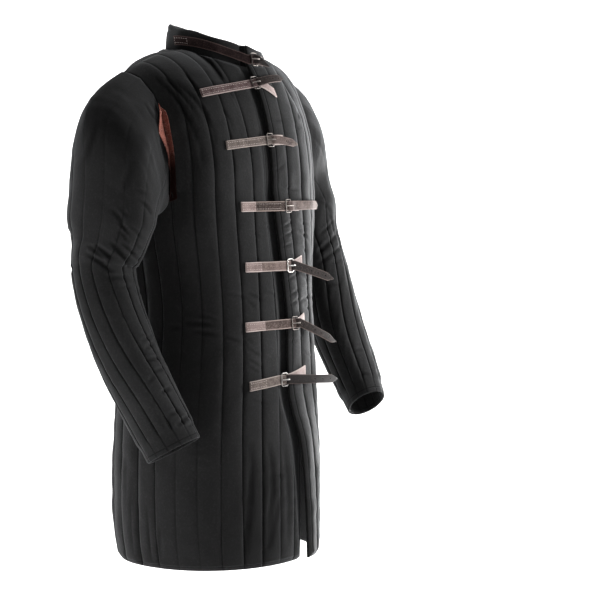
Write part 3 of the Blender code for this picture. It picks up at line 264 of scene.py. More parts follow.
def upper_point(share, turn):
    """A point above the armhole points; turn goes from 0 there to 1 on the shoulder line."""
    x0, y0 = on_section(CHEST_Z, share)
    girth = half_section(CHEST_Z)[1][-1]
    back = abs(share) > SIDE_SHARE
    along = (1.0 - abs(share)) * girth if back else abs(share) * girth
    reach = along * SHOULDER_X / ((1.0 - BACK_SHARE if back else FRONT_SHARE) * girth)
    top_x = math.copysign(reach, share)
    fullness = mix(*(BACK_FULLNESS if back else FRONT_FULLNESS), ease(reach / SHOULDER_X))
    angle = turn * math.pi / 2
    rise = math.sin(angle) ** (2 / fullness)
    depth = max(math.cos(angle), 0.0) ** (2 / fullness)
    x = mix(x0, top_x, (1 - math.cos(angle)) ** 1.2)
    top_z = shoulder_z(top_x, BACK_NECK_RISE if back else FRONT_NECK_RISE)
    return Vector((x, mix(SHOULDER_Y, y0, depth), mix(CHEST_Z, top_z, rise)))


def neck_turn(share):
    """The turn at which a column meets the neckline, or 1 where it reaches the shoulder."""
    back = abs(share) > SIDE_SHARE
    depth = NECK_BACK if back else NECK_FRONT
    outside = 1.0
    inside = 0.0

    def past(turn):
        p = upper_point(share, turn)
        return (p.x / NECK_X) ** 2 + (p.y / depth) ** 2 < 1

    if not past(0.9999):
        return 1.0
    for _ in range(30):
        mid = (inside + outside) / 2
        if past(mid):
            outside = mid
        else:
            inside = mid
    return inside


def armpit_top(share):
    """The level at which a column below the armhole ends."""
    a = abs(share)
    if a < SIDE_SHARE:
        t = (a - FRONT_SHARE) / (SIDE_SHARE - FRONT_SHARE)
    else:
        t = (BACK_SHARE - a) / (BACK_SHARE - SIDE_SHARE)
    t = min(max(t, 0.0), 1.0)
    return mix(CHEST_Z, ARMPIT_Z, math.sin(t * math.pi / 2))


def body_point(share, v):
    """The body's inner face: v is 0 at the hem, 1 at the armhole points, 2 at the top."""
    if v <= 1.0:
        z = mix(HEM_Z, armpit_top(share), v)
        x, y = on_section(z, share)
        return Vector((x, y, z))
    return upper_point(share, (v - 1.0) * neck_turn(share))


def body_normal(share, v):
    """Outward direction of the inner face."""
    d = 0.004
    across = body_point(share + d, v) - body_point(share - d, v)
    low, high = max(v - 0.01, 0.0), min(v + 0.01, 2.0)
    if v <= 1.0:
        high = min(high, 1.0)
    else:
        low = max(low, 1.0)
    up = body_point(share, high) - body_point(share, low)
    return across.cross(up).normalized()


def lap_edge(z):
    """Where the left front's edge lies across the middle, and how far it stands off."""
    return read_table(LAP_EDGE, z)


def share_at_x(x, z):
    """The share on the front at which the section at this level has this x."""
    level = min(z, CHEST_Z)
    return math.copysign(share_where(level, 0, abs(x), 0.0, SIDE_SHARE * 0.85), x)


UNDERLAP_SHARE = share_at_x(UNDERLAP_X, CHEST_Z)


def lap_lift(share, z):
    """How far the left front is held off by the right front beneath it."""
    girth = half_section(min(z, CHEST_Z))[1][-1]
    past = (share - UNDERLAP_SHARE) * girth
    at_neck = ease((z + 0.12) / 0.10)
    hold = mix(LAP_HOLD, LAP_HOLD_AT_NECK, at_neck)
    lift = LAP_LIFT * (1.0 - ease((past - hold) / mix(LAP_EASE, LAP_EASE_AT_NECK, at_neck)))
    near_edge = 1.0 - ease((past - hold) / mix(STAND_OFF_EASE, LAP_EASE_AT_NECK, at_neck))
    return lift + lap_edge(z)[1] * near_edge


# ---- where the panels meet -------------------------------------------------------------
ARMHOLE_MIDDLE_Z = -0.150
OPEN_FROM = 8 / 3        # channels down from the shoulder where the underarm opening starts


def armhole_out(point, out, attached):
    """Outward direction of the armhole's edge, mitred between body and sleeve."""
    radial = Vector((0.0, point.y, point.z - ARMHOLE_MIDDLE_Z)).normalized()
    return (out + radial * 0.9 * attached).normalized()


def attached_at(v):
    """1 where the sleeve is sewn on, 0 where the underarm is open; v is a row, 2 the top."""
    down = (2.0 - v) * 5.0
    return 1.0 - ease((down - OPEN_FROM + 0.3) / 1.2)


def next_inward(u, falling):
    """The place of the wall's next outer point toward a lower or higher u."""
    channel = math.floor(u)
    steps = CHANNEL_STEPS + (1.0,)
    nearest = min(range(len(CHANNEL_STEPS)), key=lambda n: abs(u - channel - steps[n]))
    if falling and nearest == 0:
        return channel - 1 + CHANNEL_STEPS[-1]
    return channel + steps[nearest - 1 if falling else nearest + 1]


def body_place(share, v, side, share_inward=None):
    """Inner point and outward direction for a share on the left half, put on a side.

    share_inward is the next column's toward the neck; the first column of the shoulder
    seam ends at the neck's corner.
    """
    point = body_point(share, v)
    out = body_normal(share, v)
    if v == 2.0 and neck_turn(share) == 1.0:
        out = Vector((out.x, 0.0, out.z)).normalized()
        shift = SEAM_GAP / 2 if abs(share) > SIDE_SHARE else -SEAM_GAP / 2
        point = Vector((point.x, SHOULDER_Y + shift, point.z))
        if share_inward is not None and neck_turn(share_inward) < 1.0:
            point = Vector((NECK_X, point.y, NECK_Z))
    if side == "right":
        point, out = Vector((-point.x, point.y, point.z)), Vector((-out.x, out.y, out.z))
    return point, out


GIRTH_AT_CHEST = half_section(CHEST_Z)[1][-1]


SIDE_GAP_SHARE = SEAM_GAP / 2 / GIRTH_AT_CHEST


def front_share(side, u, v):
    """The share of channel place u on a front; u is 0 at the front's own edge."""
    to_armhole = FRONT_CHANNELS_TO_ARMHOLE[side]
    if side == "right":
        first = -UNDERLAP_SHARE
    else:
        z = min(mix(HEM_Z, CHEST_Z, min(v, 1.0)), CHEST_Z)
        first = share_at_x(lap_edge(z)[0], z)
    if u <= to_armhole:
        return mix(first, FRONT_SHARE, u / to_armhole)
    last = SIDE_SHARE - SIDE_GAP_SHARE
    return mix(FRONT_SHARE, last, (u - to_armhole) / FRONT_CHANNELS_UNDER_ARM)


def front_place(side, u, v):
    share = front_share(side, u, v)
    inward = front_share(side, max(next_inward(u, True), 0.0), v)
    point, out = body_place(share, v, side, inward)
    if side == "left":
        point = point + out * lap_lift(share, point.z)
    if u == FRONT_CHANNELS_TO_ARMHOLE[side] and v > 1.0:
        out = armhole_out(point, out, attached_at(v))
    return point, out


def under_lap(point):
    """Whether a point of the right front lies pressed under the left front's edge."""
    return point.x > lap_edge(point.z)[0] - 0.012


def back_share(u):
    under, across = BACK_CHANNELS_UNDER_ARM, BACK_CHANNELS_TO_ARMHOLE
    out_from_middle = abs(u - under - across / 2)
    if out_from_middle <= across / 2:
        return min(mix(1.0, BACK_SHARE, out_from_middle / (across / 2)), 0.9999)
    last = SIDE_SHARE + SIDE_GAP_SHARE
    return mix(BACK_SHARE, last, (out_from_middle - across / 2) / under)


def back_place(u, v):
    """u runs from the right side seam across the back to the left side seam."""
    middle = BACK_CHANNELS_UNDER_ARM + BACK_CHANNELS_TO_ARMHOLE / 2
    side = "right" if u < middle else "left"
    inward = back_share(next_inward(u, side == "left"))
    point, out = body_place(back_share(u), v, side, inward)
    if abs(u - middle) == BACK_CHANNELS_TO_ARMHOLE / 2 and v > 1.0:
        out = armhole_out(point, out, attached_at(v))
    return point, out


# ---- the sleeves -----------------------------------------------------------------------
# Inner faces of the arms at levels down them: the middle of the section, its half sizes
# out to the side and forward, and how far the forearm has turned its palm inward.
ARM_LEVELS = {
    "right": (
        # z, x, y, half_side, half_deep, turn_deg
        (-0.290, -0.273, 0.005, 0.053, 0.082, 0.0),
        (-0.330, -0.277, 0.008, 0.050, 0.066, 0.0),
        (-0.370, -0.283, 0.014, 0.047, 0.052, 0.0),
        (-0.430, -0.283, 0.001, 0.046, 0.050, 8.0),
        (-0.520, -0.270, -0.028, 0.045, 0.049, 20.0),
        (-0.600, -0.258, -0.068, 0.041, 0.047, 32.0),
        (-0.684, -0.245, -0.114, 0.032, 0.046, 40.0),
    ),
    "left": (
        (-0.290, 0.273, 0.015, 0.053, 0.082, 0.0),
        (-0.330, 0.278, 0.000, 0.050, 0.066, 0.0),
        (-0.370, 0.284, -0.018, 0.047, 0.054, 0.0),
        (-0.430, 0.287, -0.040, 0.046, 0.050, 8.0),
        (-0.500, 0.288, -0.066, 0.045, 0.049, 20.0),
        (-0.570, 0.283, -0.105, 0.041, 0.047, 32.0),
        (-0.650, 0.266, -0.158, 0.032, 0.046, 40.0),
    ),
}
SLEEVE_HEAD_ROWS = (0.0, 0.08, 0.24, 0.44, 0.64, 0.84)
SLEEVE_ARM_ROWS = (1.0, 1.11, 1.22, 1.37, 1.53, 1.69, 1.84, 1.96, 2.0)
CUFF_WALL = 0.005
ARM_CROWN_WALL = 0.0075
ARM_STITCH_WALL = 0.0045
ARM_CHANNELS_FRONT = 5
ARM_TURN = 0.25          # the shoulder seam stands this many channels behind the arm's top
# How far the sleeve's free edge stands out from the body's, by channels from the shoulder.
UNDERARM_GAP = (
    # channels_down, gap
    (8 / 3, 0.0004),
    (3.0, 0.0050),
    (3.4, 0.0085),
    (4.0, 0.0125),
    (5.0, 0.0175),
    (7.0, 0.0220),
)


def sign_of(side):
    return -1.0 if side == "right" else 1.0


def armhole_edge(side, u):
    """Inner and outer point of the body's armhole edge at a place u round the sleeve."""
    down, front = ARM_CHANNELS_FRONT, True
    if u <= down:
        v = 2.0 - u / down
    elif u >= ARM_CHANNELS - down:
        v = 1.0 + (u - (ARM_CHANNELS - down)) / down
        front = False
    else:
        v = 1.0
    if v > 1.0:
        column = FRONT_CHANNELS_TO_ARMHOLE[side]
        if not front:
            column = BACK_CHANNELS_UNDER_ARM
            if side == "left":
                column += BACK_CHANNELS_TO_ARMHOLE
        lower = max(r for r in UPPER_ROWS if r <= v + 1e-9)
        upper = min(r for r in UPPER_ROWS if r >= v - 1e-9)
        ends = []
        for row in (lower, upper):
            point, out = front_place(side, column, row) if front else back_place(column, row)
            ends.append((point, point + out * EDGE_WALL))
        t = 0.0 if upper == lower else (v - lower) / (upper - lower)
        return ends[0][0].lerp(ends[1][0], t), ends[0][1].lerp(ends[1][1], t)
    seam_at = down + FRONT_CHANNELS_UNDER_ARM
    if u <= seam_at:
        point, out = front_place(side, FRONT_CHANNELS_TO_ARMHOLE[side] + u - down, 1.0)
    else:
        past_seam = u - seam_at
        whole = BACK_CHANNELS_TO_ARMHOLE + 2 * BACK_CHANNELS_UNDER_ARM
        point, out = back_place(past_seam if side == "right" else whole - past_seam, 1.0)
    return point, point + out * EDGE_WALL


def channels_down(u):
    """Channels from the shoulder seam down either side of the armhole."""
    bottom = ARM_CHANNELS_FRONT + FRONT_CHANNELS_UNDER_ARM
    if u <= bottom:
        return u
    return (ARM_CHANNELS - u) * bottom / (ARM_CHANNELS - bottom) if u > bottom + 1 else bottom


def arm_section(side, v):
    """Middle, outward-side and forward directions and half sizes of the arm; v is 1 to 2."""
    table = ARM_LEVELS[side]
    top, low = table[0][0], table[-1][0]
    z = mix(top, low, v - 1.0)
    x, y, half_side, half_deep, turn = read_table(table, z)
    x1, y1 = read_table(table, z - 0.01)[:2] if z - 0.01 > low else (x, y)
    x0, y0 = read_table(table, z + 0.01)[:2] if z + 0.01 < top else (x, y)
    drop = min(z + 0.01, top) - max(z - 0.01, low)
    axis = Vector((x1 - x0, y1 - y0, -drop)).normalized()
    forward = Vector((0.0, -1.0, 0.0))
    forward = (forward - axis * forward.dot(axis)).normalized()
    outward = Vector((sign_of(side), 0.0, 0.0))
    outward = (outward - axis * outward.dot(axis) - forward * outward.dot(forward)).normalized()
    angle = math.radians(turn)
    deep = forward * math.cos(angle) - outward * math.sin(angle)
    wide = outward * math.cos(angle) + forward * math.sin(angle)
    return Vector((x, y, z)), wide, deep, half_side, half_deep, axis


def arm_point(side, u, v):
    """Inner point and outward direction on the arm below the sleeve's head."""
    middle, wide, deep, half_side, half_deep, _ = arm_section(side, v)
    angle = (u - ARM_TURN) / ARM_CHANNELS * 2 * math.pi
    c, s = math.cos(angle), math.sin(angle)
    point = middle + wide * half_side * c + deep * half_deep * s
    out = (wide * c / half_side + deep * s / half_deep).normalized()
    return point, out


def sleeve_edge(side, u):
    """Inner and outer point of the sleeve's armhole edge, and the way its cloth sets off."""
    inner, outer = armhole_edge(side, u)
    out = (outer - inner).normalized()
    before = armhole_edge(side, (u - 0.3) % ARM_CHANNELS)[0]
    after = armhole_edge(side, (u + 0.3) % ARM_CHANNELS)[0]
    away = (after - before).cross(out).normalized()
    outward = Vector((sign_of(side), 0.0, 0.0))
    if away.dot(outward) < 0:
        away = -away
    down = channels_down(u)
    radial = Vector((0.0, inner.y, inner.z - ARMHOLE_MIDDLE_Z)).normalized()
    sewn_way = Vector((outward.x, 0.45 * radial.y, mix(-0.35, -0.50, radial.z))).normalized()
    if down <= OPEN_FROM:
        shift = away * SEAM_GAP
        return inner + shift, outer + shift, sewn_way
    loose = ease((down - OPEN_FROM) / 1.2)
    gap = read_table(UNDERARM_GAP, down)[0]
    ring_out = arm_point(side, u, 1.0)[1]
    way = away.lerp(Vector((outward.x * 0.95, 0.0, -0.3)), loose).normalized()
    start = inner + way * gap
    edge_out = out.lerp(ring_out, loose).normalized()
    free_way = Vector((outward.x * 0.15, 0.0, -1.0)).normalized()
    return start, start + edge_out * EDGE_WALL, sewn_way.lerp(free_way, loose).normalized()


HEAD_REACH = 0.56        # how far the sleeve's cloth runs out before it turns down,
HEAD_DROP = 0.60         # and how far it already runs down the arm
HEAD_WALL_EASE = 0.012   # from its edge the sleeve's wall grows to its whole over this
HEAD_CACHE = {}


def head_ends(side, u):
    u %= ARM_CHANNELS
    if (side, u) not in HEAD_CACHE:
        HEAD_CACHE[side, u] = (sleeve_edge(side, u), arm_point(side, u, 1.0))
    return HEAD_CACHE[side, u]


def head_point(side, u, v):
    """Inner point on the sleeve's head, between the armhole and the arm; v is 0 to 1."""
    (start, _, way), (end, _) = head_ends(side, u)
    axis = arm_section(side, 1.0)[5]
    reach = (end - start).length
    a = start + way * HEAD_REACH * reach
    b = end - axis * HEAD_DROP * reach
    t = v
    return (
        start * (1 - t) ** 3 + a * 3 * t * (1 - t) ** 2 + b * 3 * t * t * (1 - t) + end * t**3
    )


def sleeve_place(side, u, v):
    if v >= 1.0:
        return arm_point(side, u, v)
    if v == 0.0:
        (start, outer, _), _ = head_ends(side, u)
        return start, (outer - start).normalized()
    d = 0.12
    across = head_point(side, u + d, v) - head_point(side, u - d, v)
    along = head_point(side, u, min(v + 0.03, 1.0)) - head_point(side, u, v - 0.03)
    out = across.cross(along).normalized()
    if out.dot(arm_point(side, u, 1.0)[1] + Vector((0.0, 0.0, 0.3))) < 0:
        out = -out
    (start, outer, _), _ = head_ends(side, u)
    near_seam = 1.0 - ease(v / 0.15)
    out = out.lerp((outer - start).normalized(), near_seam * 0.5).normalized()
    return head_point(side, u, v), out


# ---- the collar ------------------------------------------------------------------------
COLLAR_WALL = 0.008
COLLAR_GAP = 0.0007      # inside the body's neck edge
COLLAR_TUCK = 0.006      # how far the collar starts below that edge
COLLAR_TUCK_AT_LAP = 0.0002
COLLAR_RIGHT_END_X = -0.022
COLLAR_LEFT_END_X = -0.0155
COLLAR_TOP_Z = 0.0445    # the top rim at the middle of the neck
COLLAR_TOP_BACK = 0.28   # how it rises to the back
COLLAR_TOP_RIGHT = 0.13  # and to the wearer's right
COLLAR_END_RISE = 0.004  # the left end stands this much higher
COLLAR_END_REACH = 0.040
COLLAR_LEAN = 0.005


def neck_edge(inner_points):
    """A panel's inner points along its top row that lie on the neck."""
    top = len(LOWER_ROWS) + len(UPPER_ROWS) - 2
    places = sorted(place for place in inner_points if place[0] == top)
    line = [inner_points[place] for place in places]
    return [p for p in line if abs(p.x) <= NECK_X + 1e-6]


def neck_line(right, left, back):
    """The body's inner neck edge from the right front's lap round the back to the left's."""
    line = [p for p in neck_edge(right) if p.x < COLLAR_RIGHT_END_X]
    right_end = neck_edge(right)[len(neck_edge(right)) - len(line) - 1]
    t = (COLLAR_RIGHT_END_X - right_end.x) / (line[0].x - right_end.x)
    line.insert(0, right_end.lerp(line[0], t))
    line += neck_edge(back)[1:-1]
    ending = [p for p in neck_edge(left) if p.x > COLLAR_LEFT_END_X]
    left_end = neck_edge(left)[len(neck_edge(left)) - len(ending) - 1]
    t = (COLLAR_LEFT_END_X - left_end.x) / (ending[0].x - left_end.x)
    return line + ending[::-1] + [left_end.lerp(ending[0], t)]


def evenly(line, count):
    """Points at even distances along a line."""
    along = [0.0]
    for a, b in zip(line, line[1:]):
        along.append(along[-1] + (b - a).length)
    points = []
    k = 0
    for n in range(count):
        target = along[-1] * n / (count - 1)
        while k < len(line) - 2 and along[k + 1] < target:
            k += 1
        t = (target - along[k]) / max(along[k + 1] - along[k], 1e-9)
        points.append(line[k].lerp(line[k + 1], t))
    return points


# ---- the leather round the underarm openings -------------------------------------------
BINDING_WIDTH = 0.012
BINDING_THICK = 0.0012
BODY_BINDING_LIFT = 0.0011
SLEEVE_BINDING_LIFT = 0.0027
ARCH_BRIDGE = 0.0036
ARCH_LIFT = 0.0008
ARCH_STATIONS = 3
ARCH_STEP = 0.30         # channels that the strip reaches up the seam over the opening's end
CORNER_STEP = 0.0006
CORNER_NUDGE = 0.06      # of the way to the next point, so that two stations never meet


def surface_of(*objects):
    """The faces of some objects, to lay other pieces on."""
    verts, faces = [], []
    for obj in objects:
        start = len(verts)
        verts.extend(v.co.copy() for v in obj.data.vertices)
        obj.data.calc_loop_triangles()
        faces.extend([start + k for k in t.vertices] for t in obj.data.loop_triangles)
    return BVHTree.FromPolygons(verts, faces)


def between(a, b, t):
    """A wall's point and outward direction part of the way from one to another."""
    return a[0].lerp(b[0], t), a[1].lerp(b[1], t).normalized()


def raised(place, height):
    point, out = place
    return point + out * height, out


def column_at(points, v, k, step):
    """A wall's outer point between two of its rows above the chest."""
    lower = max(n for n, r in enumerate(UPPER_ROWS) if r <= v + 1e-9)
    lower = min(lower, len(UPPER_ROWS) - 2)
    t = (v - UPPER_ROWS[lower]) / (UPPER_ROWS[lower + 1] - UPPER_ROWS[lower])
    row = len(LOWER_ROWS) - 1 + lower
    return between(points[row, k, step], points[row + 1, k, step], t)


def side_of_opening(points, edge, beside, arch_v):
    """Strip stations down one column of the body: arch, then rows to the armpit's corner."""
    arch = column_at(points, arch_v, *edge), column_at(points, arch_v, *beside)
    stations = [tuple(raised(place, ARCH_LIFT) for place in arch)]
    for v in (1.4, 1.2):
        stations.append((column_at(points, v, *edge), column_at(points, v, *beside)))
    chest = len(LOWER_ROWS) - 1
    corner, above = points[(chest, *edge)], points[(chest + 1, *edge)]
    up = CORNER_STEP / (above[0] - corner[0]).length
    stations.append((between(corner, above, up), points[(chest, *beside)]))
    return stations


def under_arm(points, places):
    """Strip stations along the top of a panel below the armhole."""
    chest = len(LOWER_ROWS) - 1
    stations = []
    for k, step in places:
        top, below = points[chest, k, step], points[chest - 1, k, step]
        share = BINDING_WIDTH / (below[0] - top[0]).length
        stations.append((top, between(top, below, share)))
    return stations


def body_stations(side, front, back):
    """Strip stations on the body, from the front arch under the arm to the back arch."""
    arch_v = 2.0 - OPEN_FROM / ARM_CHANNELS_FRONT
    column = FRONT_CHANNELS_TO_ARMHOLE[side]
    last = len(CHANNEL_STEPS) - 1
    stations = side_of_opening(front, (column, 0), (column - 1, last), arch_v)
    places = [(column - 1, last)]
    for k in range(column, column + FRONT_CHANNELS_UNDER_ARM):
        places += [(k, step) for step in range(len(CHANNEL_STEPS))]
    under = under_arm(front, places[:1] + places[2:])
    turn = front[len(LOWER_ROWS) - 1, column, 0]
    nudge = between(turn, front[len(LOWER_ROWS) - 1, column, 1], CORNER_NUDGE)
    stations += [(nudge, under[0][1])] + under[1:]
    width = BACK_CHANNELS_UNDER_ARM
    whole = BACK_CHANNELS_TO_ARMHOLE + 2 * width
    if side == "right":
        edge, beside = (width, 0), (width, 1)
        places = [(k, step) for k in range(width) for step in range(len(CHANNEL_STEPS))][1:]
        before = (width - 1, last)
    else:
        edge, beside = (whole - width, 0), (whole - width - 1, last)
        places = [(k, s) for k in range(whole - width, whole) for s in range(len(CHANNEL_STEPS))]
        places = places[:0:-1]
        before = (whole - width, 1)
    stations += under_arm(back, places)
    low_beside = under_arm(back, [beside])[0][1]
    chest = len(LOWER_ROWS) - 1
    nudge = between(back[(chest, *edge)], back[(chest, *before)], CORNER_NUDGE)
    stations.append((nudge, low_beside))
    stations += side_of_opening(back, edge, beside, arch_v)[::-1]
    return stations


# In front, near the top, the right one reaches further round onto the sleeve.
WIDER_BY, WIDER_AT = 0.020, (-0.195, -0.120)


def down_column(points, k, step, length):
    """The place at a length down a column of the sleeve's outer points."""
    row = 0
    while True:
        a, b = points[row, k, step], points[row + 1, k, step]
        gap = (b[0] - a[0]).length
        if length <= gap:
            return between(a, b, length / gap)
        length -= gap
        row += 1


def sleeve_stations(side, sleeve):
    """Strip stations along the sleeve's free edge, from the back arch to the front arch."""
    stations = []
    for k in range(ARM_CHANNELS):
        for step, part in enumerate(CHANNEL_STEPS):
            if OPEN_FROM < k + part < ARM_CHANNELS - OPEN_FROM:
                wide = BINDING_WIDTH
                if side == "right" and k + part < ARM_CHANNELS / 2:
                    low, high = WIDER_AT
                    height = sleeve[0, k, step][0].z
                    wide += WIDER_BY * ease(min(max((height - low) / (high - low), 0.0), 1.0))
                lengths = (0.0, wide / 2, wide)
                stations.append(tuple(down_column(sleeve, k, step, n) for n in lengths))
    return stations[::-1]


def over_arch(body, sleeve, above):
    """Stations that carry the strip over an end of the opening, from body to sleeve.

    The seam lies in a valley there, which the strip bridges.
    """
    rim = between(body[0], sleeve[0], 0.5)
    stations = []
    for start, along in ((body, 0.5), (body, 1.0), (sleeve, 0.5)):
        near = raised(between(rim, start[0], 0.5 * (1.0 - along)), ARCH_BRIDGE)
        far = raised(between(start[-1], above, along), ARCH_BRIDGE * along)
        stations.append((near, between(near, far, 0.5), far))
    return stations


def seam_above(side, u):
    """The seam between body and sleeve, a little above an end of the opening."""
    edges = armhole_edge(side, u), sleeve_edge(side, u)
    rims = [(e[1], (e[1] - e[0]).normalized()) for e in edges]
    return between(*rims, 0.5)


def facing(a, b, c, d, out):
    """The normal of a facet of four points, on the side of out."""
    normal = (c - a).cross(d - b).normalized()
    return -normal if normal.dot(out) < 0 else normal


def strip_normals(grid):
    """The strip's own outward directions at its points."""
    count, width = len(grid), len(grid[0])
    normals = [[Vector((0.0, 0.0, 0.0)) for _ in row] for row in grid]
    for j in range(count):
        following = (j + 1) % count
        for c in range(width - 1):
            corners = ((j, c), (j, c + 1), (following, c + 1), (following, c))
            places = [grid[m][n][0] for m, n in corners]
            out = sum((grid[m][n][1] for m, n in corners), Vector((0.0, 0.0, 0.0)))
            normal = facing(*places, out)
            for m, n in corners:
                normals[m][n] += normal
    return [[n.normalized() for n in row] for row in normals]


# ---- straps, tabs and buckles ----------------------------------------------------------
STRAP_HALF = 0.010
STRAP_THICK = 0.0018
TAB_HALF = 0.009
BUCKLE_HALF_TALL = 0.0125
BUCKLE_HALF_WIDE = 0.008
BUCKLE_THICK = 0.0022
PRONG_WIDE = 0.0022
PRONG_THICK = 0.0016
# Heights of the undersides above the cloth that the strap is drawn over.
LEATHER_UP = LAY_GAP
BUCKLE_UP = 0.0029
OVER_BAR_UP = 0.0055
OVER_TAB_UP = 0.0030
PRONG_UP = (0.0057, 0.0081)
PRONG_REACH = (-0.009, 0.007)
FLAT_HALF = 0.012        # the cloth is pressed flat this far on either side of a buckle
STRAIGHT_HALF = 0.0097   # the strap runs square through the buckle this far either side
RAY_START = 0.06
PROBE_STEP = 0.0015

# Straps down the front. Places are x and z on the front, but for strap 1, which runs round
# the collar; a tail with a y stands off the cloth and one without it lies on the cloth.
STRAPS = (
    # sewn x, y, z, buckle x, z, tail x, y, z, tab length, tab rise
    (-0.0884, 0.017, 0.034, -0.003, -0.006, 0.022, -0.112, -0.015, 0.016, -0.001),
    (-0.140, None, -0.067, -0.025, -0.051, 0.060, -0.113, -0.035, 0.042, -0.020),
    (-0.120, None, -0.158, -0.025, -0.150, 0.050, -0.155, -0.155, 0.034, 0.000),
    (-0.099, None, -0.266, 0.008, -0.266, 0.150, None, -0.268, 0.034, 0.000),
    (-0.093, None, -0.373, 0.005, -0.373, 0.120, -0.185, -0.402, 0.037, 0.008),
    (-0.095, None, -0.479, 0.0095, -0.477, 0.120, -0.190, -0.518, 0.030, 0.008),
    (-0.095, None, -0.584, -0.020, -0.577, 0.125, -0.190, -0.587, 0.058, 0.012),
)
COLLAR_STRAP_UP = Vector((0.10, 0.25, 1.0))


def front_hit(surface, x, z):
    """The outermost point of the coat's front at this x and z."""
    hit = surface.ray_cast(Vector((x, -0.5, z)), Vector((0.0, 1.0, 0.0)))[0]
    return hit


def upper_hull(points):
    """The taut line over points (s, n), as its corners."""
    hull = []
    for p in sorted(points):
        while len(hull) > 1:
            (s0, n0), (s1, n1) = hull[-2], hull[-1]
            if (s1 - s0) * (p[1] - n0) < (n1 - n0) * (p[0] - s0) - 1e-9:
                break
            hull.pop()
        hull.append(p)
    return hull


def height_on(line, s):
    for (s0, n0), (s1, n1) in zip(line, line[1:]):
        if s <= s1:
            return mix(n0, n1, (s - s0) / (s1 - s0))
    return line[-1][1]


def offset_point(line, s, up):
    """A point held a height above the line at s, square to the line."""
    rise = (height_on(line, s + 0.001) - height_on(line, s - 0.001)) / 0.002
    length = math.hypot(1.0, rise)
    return s - up * rise / length, height_on(line, s) + up / length


def placed(x, y, z, at):
    """The matrix that turns a piece's axes to these directions and moves it there."""
    turned = Matrix((x, y, z)).transposed().to_4x4()
    turned.translation = at
    return turned


class StrapPath:
    """A strap's own directions, and the taut line of the cloth beneath it."""

    def __init__(self, surface, row):
        sewn_x, sewn_y, sewn_z, x, z, tail_x, tail_y, tail_z, self.tab, self.tab_rise = row
        self.centre = front_hit(surface, x, z)
        if sewn_y is None:
            sewn = front_hit(surface, sewn_x, sewn_z)
            low, high = front_hit(surface, x, z - 0.015), front_hit(surface, x, z + 0.015)
            self.across = (high - low).normalized()
        else:
            sewn = Vector((sewn_x, sewn_y, sewn_z))
            self.across = COLLAR_STRAP_UP.normalized()
        self.tail_flat = tail_y is None
        tail = front_hit(surface, tail_x, tail_z) if self.tail_flat else Vector(
            (tail_x, tail_y, tail_z)
        )
        self.out = (self.centre - sewn).cross(self.across).normalized()
        self.along = self.across.cross(self.out).normalized()
        self.sewn, self.tail = self.local(sewn), self.local(tail)
        self.line = self.taut_line(surface)

    def local(self, point):
        offset = point - self.centre
        return offset.dot(self.along), offset.dot(self.out), offset.dot(self.across)

    def world(self, s, n, w):
        return self.centre + self.along * s + self.out * n + self.across * w

    def drift(self, s, end):
        """Sideways place of the strap, tab or tail at s, given its free end's."""
        if abs(s) <= STRAIGHT_HALF:
            return 0.0
        if s < 0.0:
            return self.sewn[2] * (s + STRAIGHT_HALF) / (self.sewn[0] + STRAIGHT_HALF)
        return end[1] * (s - STRAIGHT_HALF) / (end[0] - STRAIGHT_HALF)

    def taut_line(self, surface):
        probes = []
        steps = int((self.tail[0] - self.sewn[0] + 0.02) / PROBE_STEP)
        for k in range(steps):
            s = self.sewn[0] - 0.004 + k * PROBE_STEP
            ends = [(self.tab, self.tab_rise)]
            if self.tail_flat or s <= 0.0:
                ends.append((self.tail[0], self.tail[2]))
            elif s > self.tab + 0.01:
                continue
            middles = [self.drift(s, end) for end in ends]
            low, high = min(middles) - BUCKLE_HALF_TALL, max(middles) + BUCKLE_HALF_TALL
            heights = []
            for j in range(7):
                over = self.world(s, RAY_START, mix(low, high, j / 6))
                hit = surface.ray_cast(over, -self.out)[0]
                if hit is not None:
                    heights.append(self.local(hit)[1])
            if heights:
                probes.append((s, max(heights)))
        hull = upper_hull(probes)
        top = height_on(hull, 0.0)
        rise = (height_on(hull, 0.002) - height_on(hull, -0.002)) / 0.004
        flat = [(side * FLAT_HALF, top + rise * side * FLAT_HALF) for side in (-1, 1)]
        self.rise = rise
        return upper_hull(hull + flat)

    def at_buckle(self, u, up):
        """A point near the buckle: u along the strap from its middle, up off the cloth."""
        length = math.hypot(1.0, self.rise)
        s, n = (u - up * self.rise) / length, (u * self.rise + up) / length
        return s, height_on(self.line, 0.0) + n

    def corners(self, start, end):
        return [s for s, _ in self.line if start + 0.003 < s < end - 0.003]

    def matrix(self, u, up):
        """Places a flat piece at the buckle, its x along the strap and its z outward."""
        s, n = self.at_buckle(u, up)
        length = math.hypot(1.0, self.rise)
        along = (self.along + self.out * self.rise) / length
        out = (self.out - self.along * self.rise) / length
        return placed(along, self.across, out, self.world(s, n, 0.0))


# ---- coarse points of the panels, which the collar and the leather strips follow -------
def coarse_wall(channels, rows, place, thick, cells, closed=False):
    """Outer and inner points of a panel's grid, by row, channel and step across it."""
    outer, inner = {}, {}

    def has(channel, row):
        channel = channel % channels if closed else channel
        return 0 <= channel < channels and 0 <= row < len(rows) - 1 and cells(channel, row)

    for i, v in enumerate(rows):
        for k in range(channels if closed else channels + 1):
            for step, part in enumerate(CHANNEL_STEPS):
                u = k + part
                if u > channels:
                    continue
                sides = (k - 1, k) if part == 0.0 else (k,)
                around = [has(c, r) for c in sides for r in (i - 1, i)]
                if not any(around):
                    continue
                point, out = place(u, v)
                outer[i, k, step] = (point + out * thick(u, v, not all(around)), out)
                inner[i, k, step] = point
    return outer, inner


def wall_at(u, edge):
    if edge:
        return EDGE_WALL
    return STITCH_WALL if u == math.floor(u) else CROWN_WALL


CHEST_ROW = len(LOWER_ROWS) - 1
BODY_ROWS = LOWER_ROWS + UPPER_ROWS[1:]


